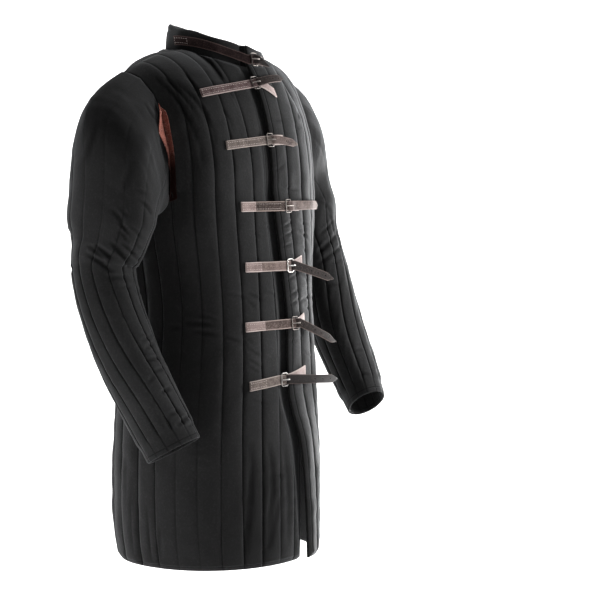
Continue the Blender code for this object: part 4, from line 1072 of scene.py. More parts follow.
def coarse_front(side):
    to_armhole = FRONT_CHANNELS_TO_ARMHOLE[side]

    def thick(u, v, edge):
        if side == "right" and under_lap(front_place(side, u, v)[0]):
            return UNDER_WALL
        return wall_at(u, edge)

    return coarse_wall(
        to_armhole + FRONT_CHANNELS_UNDER_ARM, BODY_ROWS,
        lambda u, v: front_place(side, u, v), thick,
        lambda channel, row: channel < to_armhole or row < CHEST_ROW,
    )


def coarse_back():
    under, across = BACK_CHANNELS_UNDER_ARM, BACK_CHANNELS_TO_ARMHOLE
    return coarse_wall(
        across + 2 * under, BODY_ROWS, back_place, lambda u, v, edge: wall_at(u, edge),
        lambda channel, row: under <= channel < under + across or row < CHEST_ROW,
    )


def sleeve_thick(side, u, v, edge):
    u %= ARM_CHANNELS
    if v == 0.0:
        (start, outer, _), _ = head_ends(side, u)
        return (outer - start).length
    if edge:
        return CUFF_WALL
    crown = mix(CROWN_WALL, ARM_CROWN_WALL, ease(v - 1.0))
    wall = ARM_STITCH_WALL if u == math.floor(u) else crown
    (start, _, _), (end, _) = head_ends(side, u)
    return mix(EDGE_WALL, wall, min(v * (end - start).length / HEAD_WALL_EASE, 1.0))


def coarse_sleeve(side):
    return coarse_wall(
        ARM_CHANNELS, SLEEVE_HEAD_ROWS + SLEEVE_ARM_ROWS,
        lambda u, v: sleeve_place(side, u % ARM_CHANNELS, v),
        lambda u, v, edge: sleeve_thick(side, u, v, edge),
        lambda channel, row: True, closed=True,
    )


# ---- placing things by where they show -------------------------------------------------
def tree_of(names):
    verts, faces = [], []
    for name in names:
        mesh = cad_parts[name].data
        start = len(verts)
        verts.extend(v.co.copy() for v in mesh.vertices)
        faces.extend([start + k for k in p.vertices] for p in mesh.polygons)
    return BVHTree.FromPolygons(verts, faces)


CLOTH_NODES = ("front_right", "front_left", "back", "sleeve_right", "sleeve_left")
CAD_TREE = tree_of(CLOTH_NODES)


def seen(px, py):
    """The point of the cloth that shows at a pixel."""
    return CAD_TREE.ray_cast(EYE, pixel_ray(px, py))[0]


def hashed(*numbers):
    """A number from 0 to 1 that looks random and is the same each time."""
    x = math.sin(sum(n * w for n, w in zip(numbers, (12.9898, 78.233, 37.719)))) * 43758.5453
    return x - math.floor(x)


CREASE_DEPTH = 0.018     # a crease moves only the cloth this near it through the wall
LIP_AT, LIP_WIDE = 1.6, 0.7     # of a crease's width: where its lips stand and how wide
LOWER_LIP = 0.55         # how high the lower lip is beside the upper one


def crease_field(points, outs, creases):
    """How far each point moves out along its surface, from the creases near it."""
    moved = np.zeros(len(points))
    for line, width, depth, ridge in creases:
        line = [np.array(p) for p in line if p is not None]
        if len(line) < 2:
            continue
        lengths = [float(np.linalg.norm(b - a)) for a, b in zip(line, line[1:])]
        total, before = sum(lengths), 0.0
        nearest = np.full(len(points), 1e9)
        place = np.zeros(len(points))
        side = np.zeros(len(points))
        for a, b, length in zip(line, line[1:], lengths):
            along = (b - a) / length
            offset = points - a
            t = np.clip(offset @ along, 0.0, length)
            foot = offset - t[:, None] * along
            through = np.sum(foot * outs, axis=1)
            foot = foot - through[:, None] * outs
            far = np.linalg.norm(foot, axis=1)
            far = np.where(np.abs(through) < CREASE_DEPTH, far, 1e9)
            closer = far < nearest
            nearest = np.where(closer, far, nearest)
            place = np.where(closer, (before + t) / total, place)
            side = np.where(closer, foot[:, 2], side)
            before += length
        taper = np.clip(np.sin(np.pi * np.clip(place, 0.0, 1.0)), 0.0, 1.0) ** 0.6
        far = np.minimum(nearest / width, 20.0)
        trough = -depth * np.exp(-far**1.5)
        lip = ridge * np.exp(-((far - LIP_AT) / LIP_WIDE) ** 2)
        lip *= np.where(side >= 0, 1.0, LOWER_LIP)
        moved += (trough + lip) * taper
    return moved


# Painted light (above 0) and painted shade (below 0) in the cloth's colour, each centred where it
# shows: place, reach and how much.
PAINTED_LIGHT_AND_SHADE_SPOTS = (
    ((240, 175), 0.060, 0.35),
    ((298, 345), 0.070, 1.10),
    ((262, 345), 0.040, 0.45),
    ((300, 270), 0.050, 0.60),
    ((138, 400), 0.070, 0.90),
    ((108, 340), 0.050, 0.30),
    ((130, 500), 0.090, 0.45),
    ((125, 540), 0.060, 0.30),
    ((350, 350), 0.055, 1.00),
    ((188, 72), 0.070, -1.00),
    ((205, 60), 0.040, -0.50),
    ((225, 75), 0.040, -0.40),
    ((120, 130), 0.070, -0.30),
    ((280, 480), 0.060, -0.75),
    ((270, 540), 0.070, -0.75),
    ((165, 280), 0.060, -0.40),
    ((292, 175), 0.045, -0.60),
    ((258, 505), 0.090, -0.55),
)
# The same on the sides that don't show, in the part's own space.
PAINTED_LIGHT_AND_SHADE_BEHIND = (
    ((0.00, 0.20, -0.25), 0.090, 0.30),
    ((-0.05, 0.20, -0.75), 0.110, 0.40),
    ((0.10, 0.20, -0.62), 0.080, -0.40),
    ((-0.33, 0.05, -0.34), 0.045, 0.50),
    ((0.33, 0.05, -0.34), 0.045, 0.55),
    ((0.17, 0.00, -0.80), 0.080, 0.35),
    ((0.15, 0.02, -0.05), 0.060, -0.40),
)
PAINTED_LIGHT_CACHE = []
# Painted light on the body beside the armhole seam, against the shade of its notch, and painted
# shade over the sleeve's head.
SEAM_PAINTED_LIGHT, SEAM_PAINTED_LIGHT_WIDE = 0.75, 0.030
HEAD_PAINTED_SHADE, HEAD_PAINTED_SHADE_FROM, HEAD_PAINTED_SHADE_FADE = -0.55, -0.22, 0.12
EVEN_PULL = 0.92         # how hard the stitch lines are pulled in up the body
LINE_PULL = (0.62, 1.08)            # and the least and the most that they are on the skirt
# The right front's own on the skirt, by its lines counted from the lap.
SKIRT_PULL = {1: 0.55, 2: 0.40, 3: 1.15, 4: 1.10, 5: 0.80, 6: 0.38, 7: 0.42, 8: 1.10, 9: 0.85}
FOLD_SHADE = 0.0022      # creases this deep get a full step of painted shade in their troughs, and a painted highlight on their lips


def painted_light_field(points):
    """How much painted light (above 0) or painted shade (below 0) each point of the cloth gets.
    """
    if not PAINTED_LIGHT_CACHE:
        PAINTED_LIGHT_CACHE.extend((seen(*place), reach, much) for place, reach, much in PAINTED_LIGHT_AND_SHADE_SPOTS)
        PAINTED_LIGHT_CACHE.extend((on_cloth(*place), reach, much) for place, reach, much in PAINTED_LIGHT_AND_SHADE_BEHIND)
    total = np.zeros(len(points))
    for place, reach, much in PAINTED_LIGHT_CACHE:
        far = np.linalg.norm(points - np.array(place), axis=1) / reach
        total += much * np.exp(-far**2)
    return np.clip(total, -1.1, 1.3)


def on_cloth(x, y, z):
    """The point of the cloth nearest to a place."""
    return CAD_TREE.find_nearest(Vector((x, y, z)))[0]


# ---- quilted cloth ---------------------------------------------------------------------
# A channel's fine points across it, from its stitch line.
ACROSS = (0.0, 0.045, 0.12, 0.24, 0.38, 0.52, 0.66, 0.79, 0.89, 0.957)
CROWN_FLAT, CROWN_STEEP = 4.0, 0.62     # powers that shape a channel's section
EVEN_FROM, EVEN_OVER = 0.45, 0.35       # rows at and over which the lines grow more even
ROUND = 0.0022           # how far in an edge starts to turn over
FLATTER_FROM, FLATTER_OVER = 1.10, 0.55 # rows at and over which the shoulders grow flatter
EDGE_EASE = 0.012        # the wall comes to its own thickness over this from an edge
# How much the wall thins from a crown to a stitch line, and the crown's wall.
BODY_RELIEF = (0.0038, 0.0018)      # down the body, and on the shoulders
BACK_MORE = 0.0008       # the back's channels stand this much higher
BODY_CROWN = (0.0102, 0.0078)
# Heights from and over which the stitch lines fade up the shoulder, and how far.
FAINT_FROM, FAINT_OVER, SHOULDER_FAINT = -0.15, 0.09, 0.75
ARM_RELIEF = (0.0009, 0.0027)       # on the upper arm, and down from the elbow
ARM_CROWN = (0.0080, 0.0075)
ARM_FULL_FROM = (-0.23, -0.38)      # heights between which the sleeve's relief comes up
# Where the body's wall thins toward the sleeve's head, which comes up to meet it.
HEAD_FADE = (-0.125, -0.085)        # heights between which this begins
HEAD_BLEND = 0.042
HEAD_EASE = 0.040        # this much longer above, the sleeve's wall grows to its whole
HEAD_EDGE = 0.0042
HEAD_RAISE = 0.0018
WOBBLE = 0.035           # channels that a stitch line strays to either side
STRAY_WAVES = ((3.1, 0.6), (7.7, 0.4))  # radians to a row, and its share of that
# The puckers fade from a line over this share of a channel, start over that, and stand higher.
PUCKER_FADE, PUCKER_START, PUCKER_HIGH = 0.24, 0.05, 1.5
RIPPLES = (
    # length along the line, height
    (0.0150, 0.00020),
    (0.0220, 0.00034),
    (0.0340, 0.00040),
    (0.0600, 0.00040),
    (0.1300, 0.00040),
)


def ripple(line, along, seed):
    """Height of the puckers beside a stitch line at lengths along it."""
    total = np.zeros_like(along)
    for n, (length, height) in enumerate(RIPPLES):
        wave = length * (0.8 + 0.45 * hashed(line, n, seed))
        shift = 2 * math.pi * hashed(line, n + 7, seed)
        total += height * np.sin(2 * math.pi * along / wave + shift)
    swell = 0.55 + 0.45 * np.sin(2 * math.pi * along / 0.19 + 6.3 * hashed(line, 3, seed))
    return total * swell


def lump(line, along, seed):
    """Slow unevenness of the padding along a channel."""
    total = np.zeros_like(along)
    for n, (length, height) in enumerate(((0.05, 0.00035), (0.11, 0.0005), (0.23, 0.0005))):
        wave = length * (0.8 + 0.4 * hashed(line, n + 20, seed))
        total += height * np.sin(2 * math.pi * (along / wave + hashed(line, n + 31, seed)))
    return total


def stray(u, v, seed, channels, fixed):
    """A column's place, a little off its own, as sewn lines are."""
    k = math.floor(u)
    values = []
    for line in (k, k + 1):
        if line in fixed or line <= 0 or line >= channels:
            values.append(0.0)
            continue
        values.append(WOBBLE * sum(
            share * math.sin(v * rate + 6.3 * hashed(line, n, seed))
            for n, (rate, share) in enumerate(STRAY_WAVES, start=1)))
    return u + mix(values[0], values[1], u - k)


def spread_rows(coarse, fine, values):
    """Values at coarse rows carried to fine rows along smooth curves."""
    coarse = np.asarray(coarse)
    out = np.empty((len(fine),) + values.shape[1:])
    for n, v in enumerate(fine):
        k = int(np.clip(np.searchsorted(coarse, v, side="right") - 1, 0, len(coarse) - 2))
        before, after = max(k - 1, 0), min(k + 2, len(coarse) - 1)
        span = coarse[k + 1] - coarse[k]
        t = (v - coarse[k]) / span
        slope0 = (values[k + 1] - values[before]) / (coarse[k + 1] - coarse[before]) * span
        slope1 = (values[after] - values[k]) / (coarse[after] - coarse[k]) * span
        out[n] = (
            (2 * t**3 - 3 * t**2 + 1) * values[k] + (t**3 - 2 * t**2 + t) * slope0
            + (3 * t**2 - 2 * t**3) * values[k + 1] + (t**3 - t**2) * slope1
        )
    return out


def lengths_along(grid, axis):
    steps = np.linalg.norm(np.diff(grid, axis=axis), axis=2)
    total = np.cumsum(steps, axis=axis)
    pad = [(0, 0), (0, 0)]
    pad[axis] = (1, 0)
    return np.pad(total, pad)


class Quilt:
    """Fine grid of one quilted panel: rows along, columns across, outer and inner faces."""

    def __init__(self, name, seed, channels, coarse_rows, rows, place, closed=False, fixed=(),
                 pulled=None):
        self.name, self.seed, self.closed = name, seed, closed
        self.pulled = pulled or {}
        # Painted light (above 0) and painted shade (below 0) that this panel adds to its colour.
        self.tone = 0.0
        self.channels, self.rows = channels, rows
        self.us = [k + a for k in range(channels) for a in ACROSS]
        if not closed:
            self.us.append(float(channels))
        points = np.empty((len(coarse_rows), len(self.us), 3))
        outs = np.empty_like(points)
        for i, v in enumerate(coarse_rows):
            for j, u in enumerate(self.us):
                point, out = place(stray(u, v, seed, channels, fixed), v)
                points[i, j], outs[i, j] = point, out
        self.base = spread_rows(coarse_rows, rows, points)
        normals = spread_rows(coarse_rows, rows, outs)
        self.out = normals / np.linalg.norm(normals, axis=2, keepdims=True)
        self.v = np.array(rows)[:, None] + np.zeros((1, len(self.us)))
        self.u = np.array(self.us)[None, :] + np.zeros((len(rows), 1))
        self.part = self.u - np.floor(self.u)
        self.along = lengths_along(self.base, 0)
        self.mask = np.ones((len(rows) - 1, len(self.us) - (0 if closed else 1)), bool)
        self.turned = np.ones_like(self.v)
        self.faint = np.zeros_like(self.v)

    def pillow(self):
        """0 on the stitch lines, 1 on the channels' crowns; less on the weaker lines."""
        full = (1.0 - np.abs(2.0 * self.part - 1.0) ** CROWN_FLAT) ** CROWN_STEEP
        return 1.0 - (1.0 - full) * self.strength()

    def strength(self):
        """How hard the nearer stitch line is pulled in, line by line: more even up the body."""
        line = np.floor(self.u + 0.5).astype(int)
        wanted = np.array([
            self.pulled.get(k, mix(*LINE_PULL, hashed(k, 5, self.seed)))
            for k in range(self.channels + 1)
        ])
        low = wanted[np.clip(line, 0, self.channels)]
        return low + (EVEN_PULL - low) * smooth_step((self.v - EVEN_FROM) / EVEN_OVER)

    def unevenness(self):
        """Puckers beside the stitch lines and lumps along the crowns."""
        height = np.zeros_like(self.v)
        for j, u in enumerate(self.us):
            k, t = math.floor(u), u - math.floor(u)
            ends = (k, (k + 1) % self.channels if self.closed else k + 1)
            for line, far in ((ends[0], t), (ends[1], 1.0 - t)):
                near = math.exp(-far / PUCKER_FADE) * (1.0 - math.exp(-far / PUCKER_START))
                height[:, j] += ripple(line, self.along[:, j], self.seed) * near * PUCKER_HIGH
            crown = math.sin(math.pi * t)
            height[:, j] += lump(k, self.along[:, j], self.seed) * crown
        return height

    def build(self, wall, rim, folded, free=None, sunk=0.0):
        """Makes the object. wall is the thickness, rim the distance to the nearest edge,
        folded how far creases move it out, free the distance to the nearest hemmed edge and
        sunk a soft move besides the creases."""
        moved = folded + sunk
        turn = np.clip(rim / ROUND, 0.0, 1.0)
        drop = ROUND * (1.0 - np.sqrt(1.0 - (1.0 - turn) ** 2)) * self.turned
        base = self.base + self.out * moved[..., None]
        outer = base + self.out * np.maximum(wall - drop, 0.5 * wall)[..., None]
        inner = base + self.out * np.minimum(drop, 0.45 * wall)[..., None]
        rows, cols = self.v.shape
        count = rows * cols
        faces = []
        has = self.mask

        def cell(i, j):
            if self.closed:
                j %= cols
            return 0 <= i < has.shape[0] and 0 <= j < has.shape[1] and has[i, j]

        for i in range(has.shape[0]):
            for j in range(has.shape[1]):
                if not has[i, j]:
                    continue
                a, b = i * cols + j, i * cols + (j + 1) % cols
                c, d = b + cols, a + cols
                faces.append((a, b, c, d))
                faces.append((count + a, count + d, count + c, count + b))
                if not cell(i - 1, j):
                    faces.append((a, count + a, count + b, b))
                if not cell(i + 1, j):
                    faces.append((d, c, count + c, count + d))
                if not cell(i, j - 1):
                    faces.append((a, d, count + d, count + a))
                if not cell(i, j + 1):
                    faces.append((b, count + b, count + c, c))
        verts = np.vstack((outer.reshape(-1, 3), inner.reshape(-1, 3)))
        used = np.unique(np.array(faces))
        renumber = np.full(2 * count, -1)
        renumber[used] = np.arange(len(used))
        faces = renumber[np.array(faces)]
        mesh = bpy.data.meshes.new(self.name + "_cloth")
        mesh.from_pydata(verts[used].tolist(), [], faces.tolist())
        spacing = lengths_along(base, 1)
        width = np.empty_like(spacing)
        for k in range(self.channels):
            first, last = k * len(ACROSS), (k + 1) * len(ACROSS)
            start = spacing[:, first][:, None]
            if last < cols:
                end = spacing[:, last][:, None]
            else:
                end = (spacing[:, -1]
                       + np.linalg.norm(base[:, 0] - base[:, -1], axis=1))[:, None]
            here = spacing[:, first:last]
            width[:, first:last] = np.minimum(here - start, end - here)
        if not self.closed:
            width[:, -1] = 0.0
        hemmed = np.full_like(rim, 1.0) if free is None else free
        # The colour attribute sums the painted light and shade spots, the panel's painted tone,
        # and painted shade in crease troughs with painted highlights on their lips.
        kept = {"across": width, "along": self.along, "hem": hemmed, "faint": self.faint,
                "wear_and_painted_light": painted_light_field(base.reshape(-1, 3)).reshape(rows, cols) + self.tone
                + np.clip(folded / FOLD_SHADE, -1.2, 0.9)}
        for label, values in kept.items():
            layer = mesh.attributes.new(label, "FLOAT", "POINT")
            both = np.concatenate((values.ravel(), values.ravel()))[used]
            layer.data.foreach_set("value", both.astype(np.float32))
        side = mesh.attributes.new("outside", "FLOAT", "POINT")
        flags = np.concatenate((np.ones(count), np.zeros(count)))[used]
        side.data.foreach_set("value", flags.astype(np.float32))
        mesh.shade_smooth()
        obj = linked(self.name + "_cloth", mesh)
        bm = bmesh.new()
        bm.from_mesh(mesh)
        bmesh.ops.recalc_face_normals(bm, faces=bm.faces)
        bm.to_mesh(mesh)
        bm.free()
        return obj


def fine_rows(low, high, count, near_low=(), near_high=()):
    """Even rows from low to high with closer ones beside the ends."""
    even = list(np.linspace(low, high, count + 1))
    step = even[1] - even[0]
    kept = [v for v in even[1:-1]
            if v - low > max(near_low, default=0.0) + 0.5 * step
            and high - v > max(near_high, default=0.0) + 0.5 * step]
    return ([low] + [low + n for n in near_low] + kept
            + [high - n for n in sorted(near_high, reverse=True)] + [high])


HEM_NEAR = (0.0013, 0.0034, 0.0066)
ARMPIT_NEAR = (0.0013, 0.0034, 0.0066)
TOP_NEAR = (0.0040, 0.0100, 0.0200)
BODY_FINE = (
    fine_rows(0.0, 1.0, 150, HEM_NEAR, ARMPIT_NEAR) + fine_rows(1.0, 2.0, 66, (), TOP_NEAR)[1:]
)
FRONT_FINE = (
    fine_rows(0.0, 1.0, 250, HEM_NEAR, ARMPIT_NEAR) + fine_rows(1.0, 2.0, 100, (), TOP_NEAR)[1:]
)
BODY_COARSE = list(np.linspace(0.0, 1.0, 21)) + list(np.linspace(1.0, 2.0, 17)[1:])


def smooth_step(values):
    t = np.clip(values, 0.0, 1.0)
    return t * t * (3.0 - 2.0 * t)


def body_wall(quilt, more=0.0):
    """The padded wall: full down the body and flatter on the shoulders."""
    up = smooth_step((quilt.v - FLATTER_FROM) / FLATTER_OVER)
    crown = BODY_CROWN[0] + (BODY_CROWN[1] - BODY_CROWN[0]) * up
    relief = BODY_RELIEF[0] + more + (BODY_RELIEF[1] - BODY_RELIEF[0] - more) * up
    shoulder = smooth_step((quilt.base[..., 2] - FAINT_FROM) / FAINT_OVER) * SHOULDER_FAINT
    quilt.faint = np.clip(np.maximum(shoulder, 1.0 - quilt.strength()), 0.0, 1.0)
    return crown - relief * (1.0 - quilt.pillow()) + quilt.unevenness() * (1.0 - 0.4 * up)


def by_head(quilt):
    """1 up on the shoulder, 0 below the head of the sleeve."""
    low, high = HEAD_FADE
    return smooth_step((quilt.base[..., 2] - low) / (high - low))


def body_edges(quilt, armhole_columns):
    """Distance to the panel's nearest edge, and to its hem, for a front or the back."""
    across = lengths_along(quilt.base, 1)
    to_hem = quilt.along
    to_top = quilt.along[-1] - quilt.along
    low, high = armhole_columns
    chest_row = quilt.rows.index(1.0)
    for j, at in enumerate(quilt.us):
        if at < low or at > high:
            to_top[:, j] = np.maximum(quilt.along[chest_row, j] - quilt.along[:, j], 0.0)
    first = np.argmin(np.abs(np.array(quilt.us) - low))
    last = np.argmin(np.abs(np.array(quilt.us) - high))
    near = across - across[:, 0][:, None]
    far = across[:, -1][:, None] - across
    armhole_near = across - across[:, first][:, None]
    armhole_far = across[:, last][:, None] - across
    chest = quilt.v >= 1.0
    side = np.minimum(
        np.where(chest, armhole_near if low > 0 else near, near),
        np.where(chest, armhole_far if high < quilt.channels else far, far),
    )
    rim = np.minimum(np.minimum(to_hem, np.maximum(to_top, 0.0)), np.maximum(side, 0.0))
    to_armhole = np.full_like(rim, 1.0)
    if low > 0:
        to_armhole = np.where(chest, np.maximum(armhole_near, 0.0), to_armhole)
    if high < quilt.channels:
        beyond = np.where(chest, np.maximum(armhole_far, 0.0), 1.0)
        to_armhole = np.minimum(to_armhole, beyond)
    return rim, to_hem, near, to_armhole


def inner_rows(quilt, low, high):
    """The columns outside low to high end at the chest row."""
    for j in range(quilt.mask.shape[1]):
        middle = (quilt.us[j] + quilt.us[j + 1]) / 2
        if not low < middle < high:
            quilt.mask[quilt.rows.index(1.0):, j] = False


def edge_wall(quilt, wall, rim, to_armhole):
    """The wall comes down to its edge thickness over the last centimetre or so, and slowly
    to the head of the sleeve."""
    wall = EDGE_WALL + (wall - EDGE_WALL) * smooth_step(rim / EDGE_EASE)
    blended = HEAD_EDGE + (wall - HEAD_EDGE) * smooth_step(to_armhole / HEAD_BLEND)
    return wall + (np.minimum(blended, wall) - wall) * by_head(quilt)


# ---- materials -------------------------------------------------------------------------
class Nodes:
    """Short ways to add and join shader nodes."""

    def __init__(self, name):
        self.material = bpy.data.materials.new(name)
        self.material.use_nodes = True
        self.tree = self.material.node_tree
        self.shader = self.tree.nodes["Principled BSDF"]

    def add(self, kind, inputs=None, **settings):
        node = self.tree.nodes.new(kind)
        for key, value in settings.items():
            setattr(node, key, value)
        for key, value in (inputs or {}).items():
            self.put(node.inputs[key], value)
        return node

    def put(self, socket, value):
        if isinstance(value, bpy.types.NodeSocket):
            self.tree.links.new(value, socket)
        elif isinstance(value, bpy.types.Node):
            self.tree.links.new(value.outputs[0], socket)
        else:
            socket.default_value = value

    def math(self, operation, a, b=0.0):
        node = self.add("ShaderNodeMath", operation=operation)
        self.put(node.inputs[0], a)
        self.put(node.inputs[1], b)
        return node

    def attribute(self, name):
        return self.add("ShaderNodeAttribute", attribute_name=name).outputs["Fac"]

    def noise(self, where, scale, detail=3.0, rough=0.55, stretch=None):
        if stretch is not None:
            where = self.add("ShaderNodeMapping", {"Vector": where, "Scale": stretch})
        return self.add(
            "ShaderNodeTexNoise",
            {"Vector": where, "Scale": scale, "Detail": detail, "Roughness": rough},
        ).outputs["Fac"]

    def ramp(self, fac, stops):
        node = self.add("ShaderNodeValToRGB", {"Fac": fac})
        elements = node.color_ramp.elements
        while len(elements) < len(stops):
            elements.new(0.5)
        for element, (at, colour) in zip(elements, stops):
            element.position = at
            element.color = (*colour, 1.0)
        return node.outputs["Color"]

    def range(self, value, low, high, to_low=0.0, to_high=1.0):
        return self.add(
            "ShaderNodeMapRange",
            {"Value": value, "From Min": low, "From Max": high, "To Min": to_low,
             "To Max": to_high},
        ).outputs["Result"]

    def mix_colour(self, fac, a, b, mode="MIX"):
        node = self.add("ShaderNodeMix", data_type="RGBA", blend_type=mode)
        self.put(node.inputs["Factor"], fac)
        for socket, value in ((node.inputs[6], a), (node.inputs[7], b)):
            if isinstance(value, tuple):
                value = (*value, 1.0)
            self.put(socket, value)
        return node.outputs[2]

    def bump(self, height, distance, normal=None, strength=1.0):
        node = self.add(
            "ShaderNodeBump", {"Strength": strength, "Distance": distance, "Height": height}
        )
        if normal is not None:
            self.put(node.inputs["Normal"], normal)
        return node.outputs["Normal"]


def grey(value):
    return (value, value, value)


CLOTH_DARK = (0.0085, 0.0085, 0.0087)
CLOTH_LIGHT = (0.0145, 0.0145, 0.0148)
CLOTH_DUST = (0.026, 0.026, 0.026)
CLOTH_LINT = (0.045, 0.045, 0.045)
# Painted shade laid in the grooves of the stitch lines and of the hem's row of stitches.
PAINTED_GROOVE_SHADE = (0.0025, 0.0025, 0.0026)
CLOTH_THREAD = (0.010, 0.010, 0.010)
THREADS = 2 * math.pi / 0.0011      # turns to a metre, one for each thread of the weave
STITCH_LENGTH = 0.0046
HEM_STITCH = 0.0085      # the row of stitches stands this far in from the hem
SHEEN = 0.09
SHEEN_TINT = (0.92, 0.95, 1.0)
PAINTED_LIGHT_STRENGTH, PAINTED_SHADE_STRENGTH = 0.9, 0.70   # how strongly the painted light and the painted shade show


def cotton(name, sewn=True):
    """Black cotton canvas: plain weave, a little nap; painted shade in the stitch lines, and
    painted light and shade from an attribute.
    """
    n = Nodes(name)
    where = n.add("ShaderNodeTexCoord").outputs["Object"]
    cloudy = n.noise(where, 9.0, 4.0)
    fluff = n.noise(where, 260.0, 2.0, 0.6)
    fibres = n.noise(where, 700.0, 2.0, 0.6, (1.0, 1.0, 0.35))
    faded = n.ramp(cloudy, ((0.30, CLOTH_DARK), (0.72, CLOTH_LIGHT)))
    dusty = n.range(fluff, 0.50, 0.80, 0.0, 0.38)
    colour = n.mix_colour(dusty, faded, CLOTH_DUST)
    specks = n.range(fibres, 0.62, 0.80, 0.0, 0.22)
    colour = n.mix_colour(specks, colour, CLOTH_LINT)
    height = n.math("ADD", n.math("MULTIPLY", fluff, 0.45), n.math("MULTIPLY", fibres, 0.40))
    up = n.add("ShaderNodeSeparateXYZ", {"Vector": where}).outputs["Z"]
    weft = n.math("SINE", n.math("MULTIPLY", up, THREADS))
    height = n.math("ADD", height, n.math("MULTIPLY", weft, 0.06))
    normal = n.bump(height, 0.0007, strength=0.9)
    if sewn:
        apart, along, hem = (n.attribute(a) for a in ("across", "along", "hem"))
        clear = n.math("SUBTRACT", 1.0, n.attribute("faint"))
        in_line = n.math("MULTIPLY", n.range(apart, 0.0004, 0.0020, 1.0, 0.0), clear)
        # Painted light and shade: the attribute scales the cloth's colour up above 0 and down
        # below 0.
        wear_and_painted_light = n.attribute("wear_and_painted_light")
        lighter = n.math("MULTIPLY", n.math("MAXIMUM", wear_and_painted_light, 0.0), PAINTED_LIGHT_STRENGTH)
        darker = n.math("MULTIPLY", n.math("MINIMUM", wear_and_painted_light, 0.0), PAINTED_SHADE_STRENGTH)
        factor = n.math("ADD", n.math("ADD", lighter, 1.0), darker)
        colour = n.mix_colour(1.0, colour, factor, "MULTIPLY")
        # Painted shade along the stitch lines.
        colour = n.mix_colour(n.math("MULTIPLY", in_line, 0.8), colour, PAINTED_GROOVE_SHADE)
        # Painted shade along the hem's row of stitches.
        from_row = n.math("ABSOLUTE", n.math("SUBTRACT", hem, HEM_STITCH))
        hem_line = n.range(from_row, 0.0004, 0.0016, 1.0, 0.0)
        colour = n.mix_colour(n.math("MULTIPLY", hem_line, 0.7), colour, PAINTED_GROOVE_SHADE)
        dash = n.math("GREATER_THAN", n.math("SINE", n.math(
            "MULTIPLY", along, 2 * math.pi / STITCH_LENGTH)), -0.45)
        thread = n.math("MULTIPLY", n.math(
            "MULTIPLY", n.range(apart, 0.0002, 0.0005, 1.0, 0.0), dash), clear)
        sunk = n.math("SUBTRACT", n.math("MULTIPLY", thread, 0.5),
                      n.math("MAXIMUM", in_line, hem_line))
        normal = n.bump(sunk, 0.0008, normal, 0.8)
        colour = n.mix_colour(n.math("MULTIPLY", thread, 0.5), colour, CLOTH_THREAD)
    n.put(n.shader.inputs["Base Color"], colour)
    n.put(n.shader.inputs["Roughness"], n.range(cloudy, 0.3, 0.7, 0.82, 0.95))
    n.put(n.shader.inputs["Normal"], normal)
    n.shader.inputs["Specular IOR Level"].default_value = 0.16
    n.shader.inputs["Sheen Weight"].default_value = SHEEN
    n.shader.inputs["Sheen Roughness"].default_value = 0.42
    n.shader.inputs["Sheen Tint"].default_value = (*SHEEN_TINT, 1.0)
    return n.material


GRAIN = 900.0            # the leather's pores, to a metre


def leather(name, dark, light, edge, rough, wear_and_painted_light=0.35, with_painted_shade=False):
    """Grained leather, mottled, with its edges of another shade."""
    n = Nodes(name)
    where = n.add("ShaderNodeTexCoord").outputs["Object"]
    mottle = n.noise(where, 55.0, 4.0, 0.6)
    fine = n.noise(where, 420.0, 3.0)
    colour = n.ramp(mottle, ((0.32, dark), (0.70, light)))
    cells = n.add("ShaderNodeTexVoronoi", {"Vector": where, "Scale": GRAIN})
    pores = cells.outputs["Distance"]
    colour = n.mix_colour(n.range(fine, 0.48, 0.75, 0.0, wear_and_painted_light), colour, edge)
    rim = n.attribute("edge")
    colour = n.mix_colour(n.range(rim, 0.35, 0.95, 0.0, 0.9), colour, edge)
    # Painted shade, by the deep attribute, down to a tenth of the dark colour.
    if with_painted_shade:
        colour = n.mix_colour(n.attribute("deep"), colour, tuple(c * 0.10 for c in dark))
    height = n.math("ADD", n.math("MULTIPLY", pores, 0.6), n.math("MULTIPLY", fine, 0.5))
    n.put(n.shader.inputs["Base Color"], colour)
    n.put(n.shader.inputs["Roughness"], n.range(fine, 0.3, 0.7, rough - 0.10, rough + 0.12))
    n.put(n.shader.inputs["Normal"], n.bump(height, 0.0003, strength=0.7))
    n.shader.inputs["Specular IOR Level"].default_value = 0.07
    return n.material


def metal(name, colour, rough):
    """Bright steel wire with fine scratches and a few duller spots."""
    n = Nodes(name)
    where = n.add("ShaderNodeTexCoord").outputs["Object"]
    spots = n.noise(where, 300.0, 3.0)
    scratch = n.noise(where, 900.0, 2.0, 0.5, (1.0, 1.0, 6.0))
    dull = tuple(c * 0.55 for c in colour)
    n.put(n.shader.inputs["Base Color"], n.ramp(spots, ((0.35, dull), (0.55, colour))))
    n.put(n.shader.inputs["Roughness"], n.range(scratch, 0.3, 0.7, rough - 0.06, rough + 0.12))
    n.put(n.shader.inputs["Normal"], n.bump(scratch, 0.0001, strength=0.5))
    n.shader.inputs["Metallic"].default_value = 1.0
    return n.material


def thread(name, colour):
    n = Nodes(name)
    where = n.add("ShaderNodeTexCoord").outputs["Object"]
    twist = n.noise(where, 1500.0, 2.0)
    dark = tuple(c * 0.6 for c in colour)
    n.put(n.shader.inputs["Base Color"], n.ramp(twist, ((0.3, dark), (0.7, colour))))
    n.put(n.shader.inputs["Normal"], n.bump(twist, 0.0002, strength=0.6))
    n.shader.inputs["Roughness"].default_value = 0.7
    return n.material


def give(obj, material, slot, *replaced):
    obj.data.materials.clear()
    obj.data.materials.append(material)
    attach(obj, "root")
    if replaced:
        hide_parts(*replaced)


COTTON = cotton("black_cotton")


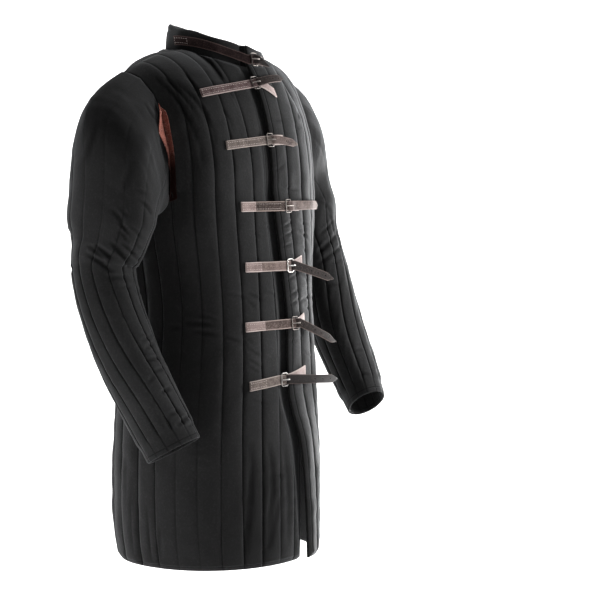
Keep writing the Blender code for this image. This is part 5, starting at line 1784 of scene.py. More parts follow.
# ---- the creases -----------------------------------------------------------------------
def crease(width, depth, ridge, *places):
    """A crease along places: its half width, how deep it sinks and how far its lips rise, in
    tenths of a millimetre. A place of two numbers is the pixel where it shows, and one of
    three is in the part's own space, where it doesn't show."""
    line = [seen(*p) if len(p) == 2 else on_cloth(*p) for p in places]
    return line, width / 10000, depth / 10000, ridge / 10000


# The diagonal folds from the shoulder down to the chest.
SHOULDER_FOLDS = (
    crease(32, 24, 12, (153, 73), (164, 83), (173, 93), (181, 104), (188, 117),
           (195, 130), (199, 143)),
    crease(28, 18, 9, (164, 77), (175, 86), (184, 95), (192, 105), (200, 118)),
    crease(30, 22, 12, (175, 80), (187, 90), (196, 100), (203, 112), (209, 127)),
    crease(26, 13, 7, (182, 71), (190, 80), (197, 90), (203, 100)),
    crease(28, 17, 9, (187, 88), (197, 99), (205, 111), (212, 127), (217, 143)),
    crease(30, 10, 5, (196, 60), (203, 67), (209, 76)),
    crease(30, 14, 6, (222, 108), (229, 119), (234, 133)),
    crease(32, 12, 6, (196, 128), (201, 145), (204, 166)),
)
# Shallow wrinkles round the waist.
WAIST_FOLDS = (
    crease(48, 17, 10, (183, 321), (198, 322), (213, 323)),
    crease(40, 11, 7, (197, 313), (206, 315), (216, 319)),
    crease(45, 14, 9, (192, 330), (205, 331), (218, 334)),
    crease(42, 13, 8, (222, 334), (232, 338), (242, 342)),
    crease(45, 10, 6, (168, 326), (176, 326), (184, 327)),
    crease(40, 9, 6, (224, 292), (233, 294), (243, 295)),
    crease(50, 18, 10, (-0.16, 0.06, -0.455), (-0.13, 0.12, -0.460), (-0.09, 0.15, -0.452)),
    crease(45, 13, 8, (-0.12, 0.13, -0.478), (-0.07, 0.16, -0.483), (-0.01, 0.17, -0.474)),
    crease(50, 16, 9, (0.02, 0.17, -0.448), (0.07, 0.16, -0.455), (0.12, 0.13, -0.446)),
    crease(42, 11, 7, (0.06, 0.16, -0.431), (0.10, 0.14, -0.436), (0.13, 0.11, -0.434)),
    crease(46, 14, 8, (0.11, 0.13, -0.476), (0.15, 0.08, -0.470), (0.17, 0.03, -0.478)),
    crease(44, 13, 8, (0.17, -0.02, -0.462), (0.16, -0.07, -0.466), (0.13, -0.12, -0.460)),
    crease(40, 10, 6, (-0.05, 0.17, -0.425), (0.00, 0.17, -0.430)),
)
# Short wrinkles on the right front, between the straps' sewn ends.
BETWEEN_STRAPS = (
    crease(32, 17, 9, (248, 291), (254, 294), (261, 299)),
    crease(30, 14, 8, (246, 298), (251, 302), (256, 308)),
    crease(32, 13, 7, (264, 289), (271, 292), (277, 296)),
    crease(32, 16, 9, (246, 346), (253, 350), (261, 356)),
    crease(30, 14, 8, (247, 357), (254, 361), (262, 367)),
    crease(28, 10, 6, (246, 336), (250, 339), (254, 343)),
    crease(30, 11, 6, (247, 364), (252, 367), (258, 371)),
    crease(30, 9, 5, (249, 229), (255, 232), (260, 237)),
    crease(30, 10, 6, (264, 222), (270, 227)),
    crease(32, 10, 6, (252, 398), (259, 401), (266, 402)),
)
# Puckers across the left front's channels beside the lap.
LAP_PUCKERS = (
    crease(30, 22, 13, (280, 226), (285, 224), (291, 220)),
    crease(28, 18, 11, (281, 236), (287, 233), (293, 229)),
    crease(30, 22, 12, (281, 246), (286, 244), (291, 242)),
    crease(28, 16, 10, (296, 217), (302, 222), (309, 224)),
    crease(30, 20, 12, (297, 230), (303, 234), (310, 242)),
    crease(26, 14, 9, (296, 244), (302, 246), (308, 251)),
    crease(28, 19, 12, (286, 280), (290, 277), (296, 272)),
    crease(30, 22, 13, (287, 294), (292, 292), (297, 288)),
    crease(28, 17, 10, (288, 304), (292, 302), (297, 297)),
    crease(28, 18, 11, (298, 269), (302, 273), (305, 279)),
    crease(26, 16, 10, (298, 282), (303, 286), (309, 287)),
    crease(28, 18, 11, (298, 301), (303, 297), (309, 295)),
    crease(26, 15, 9, (303, 303), (308, 307), (311, 312)),
    crease(28, 14, 8, (288, 342), (293, 339), (299, 337)),
    crease(28, 12, 7, (300, 349), (305, 352), (309, 357)),
    crease(30, 12, 7, (272, 170), (278, 168), (284, 163)),
    crease(30, 13, 8, (283, 185), (290, 188), (297, 188)),
    crease(30, 10, 6, (268, 118), (274, 120), (281, 120)),
    crease(40, 16, 9, (0.07, -0.18, -0.36), (0.09, -0.17, -0.38), (0.12, -0.15, -0.385)),
    crease(40, 14, 8, (0.06, -0.18, -0.43), (0.09, -0.17, -0.44), (0.11, -0.16, -0.435)),
)
# Soft upright folds down the skirt.
SKIRT_FOLDS = (
    crease(60, 26, 12, (249, 440), (252, 462), (250, 490), (248, 520), (245, 556)),
    crease(55, 30, 14, (268, 440), (271, 458), (272, 488), (269, 520), (268, 552)),
    crease(70, 16, 10, (283, 440), (286, 466), (288, 500), (287, 548)),
    crease(60, 16, 10, (277, 500), (273, 524), (269, 550)),
    crease(40, 10, 6, (273, 476), (278, 475), (283, 477)),
    crease(50, 20, 10, (131, 470), (130, 500), (129, 530), (131, 552)),
    crease(45, 16, 9, (124, 450), (124, 490), (125, 530)),
    crease(45, 18, 12, (158, 525), (158, 545), (159, 562)),
    crease(40, 34, 20, (127, 455), (127, 490), (128, 530), (131, 556)),
    crease(40, 28, 18, (136, 500), (136, 530), (138, 560)),
    crease(36, 30, 18, (146, 505), (147, 540), (149, 562)),
    crease(50, 14, 10, (119, 460), (119, 500), (121, 540)),
    crease(70, 24, 12, (-0.06, 0.17, -0.62), (-0.065, 0.18, -0.72), (-0.06, 0.18, -0.86)),
    crease(60, 18, 10, (0.03, 0.17, -0.66), (0.025, 0.18, -0.76), (0.03, 0.18, -0.84)),
    crease(70, 26, 12, (0.12, 0.13, -0.60), (0.125, 0.14, -0.72), (0.12, 0.14, -0.88)),
    crease(60, 20, 10, (0.18, 0.02, -0.64), (0.185, 0.02, -0.76), (0.185, 0.03, -0.87)),
    crease(60, 18, 10, (0.14, -0.10, -0.62), (0.145, -0.11, -0.74), (0.15, -0.10, -0.86)),
)
BODY_CREASES = SHOULDER_FOLDS + WAIST_FOLDS + BETWEEN_STRAPS + LAP_PUCKERS + SKIRT_FOLDS
SLEEVE_CREASES = {
    "right": (
        # across the elbow, and the short ones inside its bend
        crease(42, 48, 20, (95, 243), (103, 249), (113, 256)),
        crease(36, 26, 13, (87, 242), (94, 247), (104, 256)),
        crease(40, 34, 16, (85, 251), (93, 255), (102, 261), (112, 270)),
        crease(36, 42, 20, (110, 239), (118, 248), (125, 257), (131, 266)),
        crease(32, 30, 15, (115, 240), (122, 248), (129, 257), (136, 266)),
        crease(32, 28, 14, (121, 240), (129, 247), (136, 254), (141, 259)),
        crease(28, 18, 10, (135, 241), (140, 245), (144, 249)),
        crease(34, 34, 17, (111, 208), (117, 213), (124, 221)),
        crease(30, 22, 11, (119, 208), (124, 210), (128, 214)),
        crease(32, 32, 15, (119, 220), (124, 225), (129, 233)),
        crease(28, 24, 12, (120, 229), (124, 233), (127, 239)),
        crease(34, 26, 13, (139, 198), (145, 203), (153, 213)),
        crease(30, 16, 9, (129, 223), (136, 229), (144, 238)),
        crease(34, 14, 8, (135, 188), (141, 190), (147, 193)),
        crease(44, 18, 10, (104, 276), (115, 275), (126, 276), (132, 278)),
        crease(36, 14, 8, (119, 285), (126, 285), (133, 286)),
        # from the armpit up the shoulder
        crease(36, 18, 9, (144, 102), (151, 110), (157, 119)),
        crease(32, 12, 6, (149, 101), (156, 108), (162, 115)),
        crease(60, 16, 10, (100, 118), (94, 138), (88, 160)),
        crease(60, 14, 9, (125, 190), (131, 172), (134, 158)),
        # puckers along the inner seam of the forearm
        crease(32, 16, 10, (140, 339), (146, 336), (152, 333)),
        crease(34, 20, 12, (144, 347), (149, 344), (155, 341)),
        crease(36, 34, 17, (144, 359), (151, 357), (159, 356)),
        crease(34, 26, 14, (151, 370), (156, 369), (162, 366)),
        crease(30, 20, 10, (147, 381), (150, 378), (153, 374)),
        crease(36, 34, 17, (159, 392), (164, 389), (170, 386)),
        crease(34, 22, 12, (167, 414), (172, 412), (178, 409)),
        crease(38, 36, 18, (175, 425), (181, 420), (188, 414)),
        crease(32, 22, 10, (166, 416), (168, 422), (171, 429)),
        crease(32, 18, 10, (186, 426), (190, 424), (194, 422)),
        # fuller over the point of the elbow
        crease(200, -36, 0, (79, 236), (79, 248), (80, 262)),
        # behind, where they don't show
        crease(50, 14, 8, (-0.33, 0.03, -0.30), (-0.31, 0.07, -0.31), (-0.28, 0.08, -0.305)),
        crease(40, 20, 10, (-0.34, 0.02, -0.36), (-0.33, 0.05, -0.372), (-0.30, 0.07, -0.375)),
        crease(44, 24, 12, (-0.24, 0.03, -0.33), (-0.25, 0.00, -0.345), (-0.26, -0.03, -0.35)),
        crease(40, 16, 9, (-0.24, 0.02, -0.40), (-0.25, -0.01, -0.41), (-0.27, -0.04, -0.42)),
        crease(40, 18, 10, (-0.27, 0.02, -0.56), (-0.26, -0.01, -0.565), (-0.25, -0.04, -0.56)),
    ),
    "left": (
        crease(46, 48, 22, (312, 253), (321, 248), (330, 240), (338, 229)),
        crease(38, 28, 14, (329, 211), (333, 221), (336, 232)),
        crease(40, 24, 14, (315, 263), (325, 257), (335, 250), (342, 242)),
        crease(34, 16, 9, (317, 199), (325, 205), (333, 213)),
        crease(34, 24, 12, (319, 233), (326, 227), (333, 218)),
        crease(34, 12, 7, (328, 264), (337, 260), (344, 256)),
        crease(36, 14, 8, (322, 285), (331, 283), (339, 284)),
        crease(36, 16, 9, (350, 352), (357, 349), (363, 349)),
        crease(34, 14, 8, (357, 376), (364, 373), (370, 374)),
        crease(44, 36, 16, (0.33, -0.02, -0.30), (0.34, 0.02, -0.31), (0.33, 0.06, -0.30)),
        crease(42, 28, 13, (0.30, -0.06, -0.33), (0.33, -0.04, -0.345),
             (0.34, 0.00, -0.35), (0.33, 0.04, -0.345)),
        crease(40, 22, 11, (0.31, -0.06, -0.37), (0.33, -0.03, -0.385), (0.34, 0.01, -0.385)),
        crease(40, 24, 12, (0.25, 0.04, -0.32), (0.28, 0.07, -0.33), (0.31, 0.06, -0.325)),
        crease(40, 18, 10, (0.24, 0.02, -0.42), (0.25, -0.02, -0.43), (0.27, -0.05, -0.44)),
        crease(38, 20, 11, (0.30, -0.10, -0.52), (0.32, -0.07, -0.525), (0.32, -0.03, -0.52)),
        crease(38, 18, 10, (0.29, -0.13, -0.59), (0.31, -0.10, -0.60), (0.31, -0.06, -0.60)),
    ),
}


# ---- the panels ------------------------------------------------------------------------
def moved_by(quilt, creases):
    flat = (quilt.base + quilt.out * BODY_CROWN[0]).reshape(-1, 3)
    return crease_field(flat, quilt.out.reshape(-1, 3), creases).reshape(quilt.v.shape)


TURN_LESS, TURN_FROM, TURN_OVER = 0.6, 1.02, 0.3    # share, and the rows it takes
BESIDE = 0.3             # channels beside an armhole's edge over which the cloth turns to it


def turned_less(quilt):
    """How much the edges turn over: less above the chest, where they meet the sleeve."""
    return 1.0 - TURN_LESS * smooth_step((quilt.v - TURN_FROM) / TURN_OVER)


# The right front sinks under the left one's edge, and starts to this far beside it.
LAP_SINK = 0.0060
LAP_SINK_WIDE = 0.030
LAP_SINK_TOP = -0.20
LAP_SINK_FADE = 0.10
# How far beside that edge its wall starts to be pressed thinner, and over what.
PRESSED_FROM, PRESSED_EASE = 0.024, 0.012


def make_front(side):
    to_armhole = FRONT_CHANNELS_TO_ARMHOLE[side]
    channels = to_armhole + FRONT_CHANNELS_UNDER_ARM

    def place(u, v):
        share = front_share(side, u, v)
        inward = front_share(side, max(u - BESIDE, 0.0), v)
        point, out = body_place(share, v, side, inward if u == math.floor(u) else None)
        if side == "left":
            point = point + out * lap_lift(share, point.z)
        if v > 1.0 and u <= to_armhole:
            near = max(0.0, 1.0 - (to_armhole - u) / BESIDE)
            if near > 0.0:
                out = out.lerp(armhole_out(point, out, attached_at(v)), near).normalized()
        return point, out

    quilt = Quilt("front_" + side, 3 if side == "right" else 5, channels, BODY_COARSE,
                  FRONT_FINE, place, fixed=(to_armhole,),
                  pulled=SKIRT_PULL if side == "right" else None)
    rim, to_hem, near, from_armhole = body_edges(quilt, (0, to_armhole))
    inner_rows(quilt, -1, to_armhole)
    wall = body_wall(quilt)
    if side == "right":
        edge_x = np.array([lap_edge(z)[0] for z in quilt.base[:, 0, 2]])[:, None]
        beside = quilt.base[..., 0] - edge_x
        under = smooth_step((beside + PRESSED_FROM) / PRESSED_EASE)
        wall = wall + (UNDER_WALL - wall) * under
        sink = -LAP_SINK * smooth_step((beside + LAP_SINK_WIDE) / LAP_SINK_WIDE)
        sink = sink * smooth_step((LAP_SINK_TOP - quilt.base[..., 2]) / LAP_SINK_FADE)
    else:
        sink = np.zeros_like(wall)
    wall = edge_wall(quilt, wall, rim, from_armhole)
    quilt.turned = turned_less(quilt)
    # Painted light beside the armhole seam.
    quilt.tone = SEAM_PAINTED_LIGHT * np.exp(-(from_armhole / SEAM_PAINTED_LIGHT_WIDE) ** 2)
    free = np.minimum(to_hem, near)
    obj = quilt.build(wall, rim, moved_by(quilt, BODY_CREASES), free, sink)
    give(obj, COTTON, "cloth", "front_" + side)
    return obj


def make_back():
    under, across = BACK_CHANNELS_UNDER_ARM, BACK_CHANNELS_TO_ARMHOLE
    middle = under + across / 2

    def place(u, v):
        side = "right" if u < middle else "left"
        inward = back_share(u + BESIDE if side == "right" else u - BESIDE)
        point, out = body_place(back_share(u), v, side, inward if u == math.floor(u) else None)
        out_from = abs(u - middle) - across / 2
        if v > 1.0 and -BESIDE < out_from <= 0.0:
            near = 1.0 + out_from / BESIDE
            out = out.lerp(armhole_out(point, out, attached_at(v)), near).normalized()
        return point, out

    quilt = Quilt("back", 11, across + 2 * under, BODY_COARSE, BODY_FINE, place,
                  fixed=(under, under + across))
    rim, to_hem, _, from_armhole = body_edges(quilt, (under, under + across))
    inner_rows(quilt, under, under + across)
    wall = body_wall(quilt, BACK_MORE)
    wall = edge_wall(quilt, wall, rim, from_armhole)
    quilt.turned = turned_less(quilt)
    obj = quilt.build(wall, rim, moved_by(quilt, BODY_CREASES), to_hem)
    give(obj, COTTON, "cloth", "back")
    return obj


SLEEVE_COARSE = list(np.linspace(0.0, 1.0, 13)) + list(np.linspace(1.0, 2.0, 21)[1:])
SLEEVE_FINE = (
    fine_rows(0.0, 1.0, 76, (0.008, 0.02), ())
    + fine_rows(1.0, 2.0, 170, (), (0.003, 0.008, 0.016))[1:]
)
CUFF_BAND, CUFF_EASE = 0.026, 0.010     # unpadded at the cuff, and how soon padded above
ARM_FAINT, ARM_UNEVEN = 0.85, 0.8       # of the lines on the upper arm; of the unevenness


def make_sleeve(side):
    quilt = Quilt("sleeve_" + side, 17 if side == "right" else 23, ARM_CHANNELS, SLEEVE_COARSE,
                  SLEEVE_FINE, lambda u, v: sleeve_place(side, u % ARM_CHANNELS, v),
                  closed=True)
    to_cuff = quilt.along[-1][None, :] - quilt.along
    rim = np.minimum(quilt.along, to_cuff)
    high, low = ARM_FULL_FROM
    down = smooth_step((high - quilt.base[..., 2]) / (high - low))
    crown = ARM_CROWN[0] + (ARM_CROWN[1] - ARM_CROWN[0]) * down
    relief = ARM_RELIEF[0] + (ARM_RELIEF[1] - ARM_RELIEF[0]) * down
    quilt.faint = (1.0 - down) * ARM_FAINT
    band = np.clip((to_cuff - CUFF_BAND) / CUFF_EASE, 0.0, 1.0)
    wall = crown - relief * (1.0 - quilt.pillow()) + quilt.unevenness() * ARM_UNEVEN
    wall = CUFF_WALL + (wall - CUFF_WALL) * band
    edge = np.array([sleeve_thick(side, u, 0.0, True) for u in quilt.us])[None, :]
    head = by_head(quilt)
    edge = edge + HEAD_RAISE * head
    wall = edge + (wall - edge) * smooth_step(quilt.along / (HEAD_WALL_EASE + HEAD_EASE * head))
    # Painted shade over the sleeve's head, stronger higher up.
    quilt.tone = HEAD_PAINTED_SHADE * smooth_step((quilt.base[..., 2] - HEAD_PAINTED_SHADE_FROM) / HEAD_PAINTED_SHADE_FADE)
    obj = quilt.build(wall, rim, moved_by(quilt, SLEEVE_CREASES[side]), to_cuff)
    give(obj, COTTON, "cloth", "sleeve_" + side)
    return obj


# The solids stand apart at their seams; the cloth here is sewn shut at the sides.
SOLIDS_GAP_SHARE = SIDE_GAP_SHARE
SIDE_GAP_SHARE = 0.0
RIGHT = make_front("right")
LEFT = make_front("left")
BACK = make_back()
SIDE_GAP_SHARE = SOLIDS_GAP_SHARE
SLEEVES = {side: make_sleeve(side) for side in ("right", "left")}

RIGHT_OUTER, RIGHT_INNER = coarse_front("right")
LEFT_OUTER, LEFT_INNER = coarse_front("left")
BACK_OUTER, BACK_INNER = coarse_back()


# ---- the collar ------------------------------------------------------------------------
def mesh_object(name, bm):
    mesh = bpy.data.meshes.new(name)
    bmesh.ops.recalc_face_normals(bm, faces=bm.faces)
    bm.to_mesh(mesh)
    bm.free()
    mesh.shade_smooth()
    return linked(name, mesh)


def settle(obj, *modifiers):
    """Adds modifiers, then keeps only the mesh that they make."""
    for kind, settings in modifiers:
        modifier = obj.modifiers.new(kind, kind)
        for key, value in settings.items():
            setattr(modifier, key, value)
    made = bpy.data.meshes.new_from_object(obj.evaluated_get(
        bpy.context.evaluated_depsgraph_get()))
    obj.modifiers.clear()
    old = obj.data
    obj.data = made
    made.name = obj.name
    bpy.data.meshes.remove(old)
    made.shade_smooth()


def bridge(bm, low, high):
    """Faces from one ring of vertices to the next."""
    for k in range(len(low)):
        after = (k + 1) % len(low)
        bm.faces.new((low[k], low[after], high[after], high[k]))


def loft(rings, loop=False):
    """A closed body through rings of points; its ends are capped unless it is a loop."""
    bm = bmesh.new()
    verts = [[bm.verts.new(p) for p in ring] for ring in rings]
    pairs = list(zip(verts, verts[1:]))
    if loop:
        pairs.append((verts[-1], verts[0]))
    else:
        bm.faces.new(verts[0])
        bm.faces.new(verts[-1])
    for a, b in pairs:
        bridge(bm, a, b)
    return bm


COLLAR_FINE = 190
COLLAR_SMOOTHED = 14
COLLAR_BACK_DROP = 0.0062           # the rim's sag behind the neck
BACK_DROP_FROM, BACK_DROP_OVER = -0.03, 0.07    # y where it starts and how far it grows over
LAP_PAST = 0.008         # past the underlap, where the collar still starts higher
END_THIN, END_THIN_OVER = 0.45, 1.2 # share that it thins at its ends, and stations it takes
# Waves of the rim and of the wall: height, and radians along the collar and up it.
RIM_WAVES = ((0.0010, 19, 1.0), (0.0006, 43, 0.0))      # the last is where the wave starts
WALL_WAVES = ((0.0006, 31, 4), (0.0004, 67, 9))
# Across the wall as a share of it, and up as a share of the height: outside, rim, inside.
FINE_SECTION = (
    (0.00, 0.00), (-0.04, 0.10), (-0.10, 0.22), (-0.13, 0.36), (-0.13, 0.50), (-0.11, 0.62),
    (-0.07, 0.72), (0.12, 0.79), (-0.04, 0.86), (-0.02, 0.92), (0.08, 0.965), (0.26, 0.992),
    (0.50, 1.00), (0.74, 0.992), (0.92, 0.965), (1.00, 0.92), (1.02, 0.86), (0.96, 0.80),
    (1.00, 0.66), (1.02, 0.45), (1.00, 0.22), (1.00, 0.00),
)


def make_collar():
    line = neck_line(RIGHT_INNER, LEFT_INNER, BACK_INNER)
    edge = evenly(line, COLLAR_FINE)
    # The coarse line's corners are rounded off, so that the collar curves evenly.
    for _ in range(COLLAR_SMOOTHED):
        edge = [edge[0]] + [
            (a + b * 2 + c) / 4 for a, b, c in zip(edge, edge[1:], edge[2:])
        ] + [edge[-1]]
    rings = []
    for k, point in enumerate(edge):
        along = edge[min(k + 1, len(edge) - 1)] - edge[max(k - 1, 0)]
        inward = Vector((along.y, -along.x, 0.0)).normalized()
        at_lap = k > len(edge) / 2 and point.x < UNDERLAP_X + LAP_PAST and point.y < 0
        tuck = COLLAR_TUCK_AT_LAP if at_lap else COLLAR_TUCK
        low = point.z - tuck
        top = COLLAR_TOP_Z + COLLAR_TOP_BACK * point.y - COLLAR_TOP_RIGHT * point.x
        if at_lap:
            near = 1.0 - ease((point.x - COLLAR_LEFT_END_X) / COLLAR_END_REACH)
            top += COLLAR_END_RISE * near
        top -= COLLAR_BACK_DROP * ease((point.y - BACK_DROP_FROM) / BACK_DROP_OVER)
        s = k / (COLLAR_FINE - 1)
        top += sum(high * math.sin(turns * s + at) for high, turns, at in RIM_WAVES)
        end = min(k, COLLAR_FINE - 1 - k)
        thin = 1.0 - END_THIN * math.exp(-end / END_THIN_OVER)
        ring = []
        for across, up in FINE_SECTION:
            wave = sum(deep * math.sin(n * s + m * up) for deep, n, m in WALL_WAVES)
            share = 0.5 + (across - 0.5) * thin
            set_in = COLLAR_GAP + COLLAR_LEAN * up * up + share * COLLAR_WALL
            set_in += wave * math.sin(math.pi * up)
            place = point + inward * set_in
            ring.append(Vector((place.x, place.y, mix(low, top, up))))
        rings.append(ring)
    obj = mesh_object("collar_cloth", loft(rings))
    settle(obj, ("SUBSURF", {"levels": 1, "render_levels": 1}))
    give(obj, COTTON_PLAIN, "cloth", "collar")
    return obj


COTTON_PLAIN = cotton("black_cotton_plain", sewn=False)
COLLAR = make_collar()

# ---- leather round the underarm openings -----------------------------------------------
STRIP_LEATHER = leather(
    "binding_leather", (0.105, 0.031, 0.023), (0.225, 0.075, 0.055), (0.56, 0.34, 0.29), 0.72,
    with_painted_shade=True
)


def smooth_loop(rings, count):
    """Rings carried along a closed smooth curve, count to each gap."""
    grid = np.array([[tuple(p) for p in ring] for ring in rings])
    made = []
    for k in range(len(grid)):
        p0, p1 = grid[k - 1], grid[k]
        p2, p3 = grid[(k + 1) % len(grid)], grid[(k + 2) % len(grid)]
        for n in range(count):
            t = n / count
            made.append(0.5 * (2 * p1 + (p2 - p0) * t + (2 * p0 - 5 * p1 + 4 * p2 - p3) * t * t
                               + (3 * p1 - p0 - 3 * p2 + p3) * t**3) * 0.6
                        + (p1 + (p2 - p1) * t) * 0.4)
    return made


def set_edges(obj, marked):
    """An attribute that is 1 at the marked vertices, for worn or cut edges."""
    layer = obj.data.attributes.new("edge", "FLOAT", "POINT")
    layer.data.foreach_set("value", np.asarray(marked, np.float32))


CUT_EDGE = 0.0022        # how wide the paler cut edges are
SLIT_EDGE, SLIT_PAINTED_SHADE = 0.0030, 0.85    # painted shade along the edge that turns in: its reach and strength
BINDING_PAINTED_SHADE = (-0.205, -0.130)     # heights between which painted shade darkens the leather downward


def make_binding(side, front, back, sleeve):
    on_body = body_stations(side, front, back)
    on_sleeve = sleeve_stations(side, sleeve)
    back_seam = seam_above(side, ARM_CHANNELS - OPEN_FROM + ARCH_STEP)
    front_seam = seam_above(side, OPEN_FROM - ARCH_STEP)
    stations = on_body + over_arch(on_body[-1], on_sleeve[0], back_seam) + on_sleeve
    stations += over_arch(on_body[0], on_sleeve[-1], front_seam)[::-1]
    grid = [s if len(s) == 3 else (s[0], between(*s, 0.5), s[1]) for s in stations]
    directions = strip_normals(grid)
    first = len(on_body) + ARCH_STATIONS
    last = first + len(on_sleeve) - 1
    directions[first][0] = directions[first - 2][0]
    directions[last][0] = directions[last + 2][0]
    rings = []
    for station, row, normals in zip(stations, grid, directions):
        lift = SLEEVE_BINDING_LIFT if len(station) == 3 else BODY_BINDING_LIFT
        low = [point + n * lift for (point, _), n in zip(row, normals)]
        high = [point + n * BINDING_THICK for point, n in zip(low, normals)]
        rings.append(low + high[::-1])
    fine = [[Vector(p) for p in ring] for ring in smooth_loop(rings, 4)]
    obj = mesh_object(f"armhole_binding_{side}_leather", loft(fine, loop=True))
    bevel_edges(obj, 0.00035)
    settle(obj, ("SUBSURF", {"levels": 1, "render_levels": 1}))
    set_edges(obj, near_points(obj, [ring[len(ring) // 2] for ring in rings], CUT_EDGE))
    # Painted shade: dark low down and along the edge that turns in.
    inside = near_points(obj, [ring[-1] for ring in rings], SLIT_EDGE)
    heights = np.array([v.co.z for v in obj.data.vertices])
    low, high = BINDING_PAINTED_SHADE
    deep = np.maximum(smooth_step((high - heights) / (high - low)), SLIT_PAINTED_SHADE * inside)
    layer = obj.data.attributes.new("deep", "FLOAT", "POINT")
    layer.data.foreach_set("value", deep.astype(np.float32))
    give(obj, STRIP_LEATHER, "binding_leather", "armhole_binding_" + side)


def near_points(obj, points, reach):
    """1 at the vertices that lie on the points, down to 0 at the reach."""
    tree = KDTree(len(points))
    for k, point in enumerate(points):
        tree.insert(point, k)
    tree.balance()
    return np.clip([1.0 - tree.find(v.co)[2] / reach for v in obj.data.vertices], 0.0, 1.0)


def bevel_edges(obj, width):
    bm = bmesh.new()
    bm.from_mesh(obj.data)
    sharp = [e for e in bm.edges if len(e.link_faces) == 2 and e.calc_face_angle() > 1.0]
    bmesh.ops.bevel(bm, geom=sharp, offset=width, segments=1, affect="EDGES",
                    clamp_overlap=True)
    bm.to_mesh(obj.data)
    bm.free()


for side, outer in (("right", RIGHT_OUTER), ("left", LEFT_OUTER)):
    make_binding(side, outer, BACK_OUTER, coarse_sleeve(side)[0])

# ---- the fine straps, tabs and buckles -------------------------------------------------
# Dark, light and cut edge of each leather, and how rough and how worn it is.
LEATHERS = {
    "strap": ((0.020, 0.014, 0.012), (0.042, 0.030, 0.027), (0.34, 0.27, 0.24), 0.72, 0.35),
    "tail": ((0.007, 0.005, 0.0046), (0.018, 0.0135, 0.0125), (0.26, 0.20, 0.18), 0.68, 0.14),
    "strap_sewn": (
        (0.165, 0.122, 0.113), (0.290, 0.222, 0.208), (0.60, 0.50, 0.47), 0.74, 0.35),
    "strap_dull": (
        (0.014, 0.0085, 0.0085), (0.032, 0.020, 0.020), (0.11, 0.075, 0.07), 0.72, 0.35),
    "strap_plum": (
        (0.060, 0.038, 0.038), (0.120, 0.080, 0.080), (0.42, 0.34, 0.32), 0.72, 0.35),
    "strap_grey": (
        (0.075, 0.060, 0.053), (0.150, 0.122, 0.110), (0.42, 0.36, 0.33), 0.72, 0.35),
    "tail_black": (
        (0.0035, 0.0026, 0.0026), (0.009, 0.0068, 0.0065), (0.16, 0.12, 0.11), 0.60, 0.10),
    "tail_pale": (
        (0.036, 0.026, 0.023), (0.120, 0.092, 0.084), (0.34, 0.27, 0.25), 0.72, 0.35),
    "strap_warm": (
        (0.090, 0.064, 0.056), (0.185, 0.138, 0.125), (0.46, 0.38, 0.35), 0.74, 0.35),
    "strap_mid": (
        (0.040, 0.028, 0.025), (0.085, 0.061, 0.055), (0.40, 0.32, 0.29), 0.74, 0.35),
    "tab": ((0.230, 0.180, 0.170), (0.400, 0.325, 0.310), (0.56, 0.48, 0.45), 0.66, 0.35),
}
LEATHER = {
    name: leather(name + "_leather", dark, light, edge, rough, wear_and_painted_light=wear_and_painted_light)
    for name, (dark, light, edge, rough, wear_and_painted_light) in LEATHERS.items()
}
STEEL_LOOK = metal("buckle_steel", (0.56, 0.54, 0.52), 0.30)
# A darker copy of the same steel: painted shade on the buckles listed below.
SHADED_STEEL_LOOK = metal("steel_with_painted_shade", (0.24, 0.215, 0.20), 0.36)
SHADED_BUCKLES = (1, 2, 3, 4, 6)
THREAD_LOOK = thread("waxed_thread", (0.62, 0.53, 0.49))
# What each strap's sewn end, middle and tail look like.
STRAP_LOOKS = (
    ("strap_dull", "strap_dull", "tail_black"),
    ("strap_plum", "strap_plum", "tail"),
    ("strap_grey", "strap_grey", "tail_pale"),
    ("strap_sewn", "strap", "tail_pale"),
    ("strap_sewn", "strap_warm", "tail"),
    ("strap_sewn", "strap_mid", "tail"),
    ("strap_grey", "strap_grey", "tail_black"),
)


def rounded(places, radius=0.35, passes=2):
    """Places (s, n) with their corners cut back, so that the leather bends and doesn't fold."""
    for _ in range(passes):
        made = [places[0]]
        for a, b in zip(places, places[1:]):
            cut = radius if math.dist(a, b) > 0.004 else 0.25
            made.append((mix(a[0], b[0], cut), mix(a[1], b[1], cut)))
            made.append((mix(a[0], b[0], 1 - cut), mix(a[1], b[1], 1 - cut)))
        made.append(places[-1])
        places = made
    return places


def square_to(places, k):
    """The directions square to a line of places (s, n) and along it, at its kth."""
    before, after = places[max(k - 1, 0)], places[min(k + 1, len(places) - 1)]
    length = math.dist(before, after)
    way = ((after[0] - before[0]) / length, (after[1] - before[1]) / length)
    return (-way[1], way[0]), way


def resampled(places, step):
    along = lengths_of(places)
    count = max(int(along[-1] / step), 2)
    made, k = [], 0
    for n in range(count + 1):
        target = along[-1] * n / count
        while k < len(places) - 2 and along[k + 1] < target:
            k += 1
        t = (target - along[k]) / max(along[k + 1] - along[k], 1e-9)
        a, b = places[k], places[k + 1]
        made.append((mix(a[0], b[0], t), mix(a[1], b[1], t)))
    return made


STRIP_STEP = 0.0016
SIDE_WAVE, SIDE_WAVE_LONG = 0.012, 0.011    # of the width, and metres to a radian
TAIL_NARROWS = 0.10      # share of its width that a tail has lost by its point
POINT_LENGTH = 0.019
POINT_BLUNT, POINT_ROUND = 0.08, 0.88   # its end's width as a share, and how full its sides are

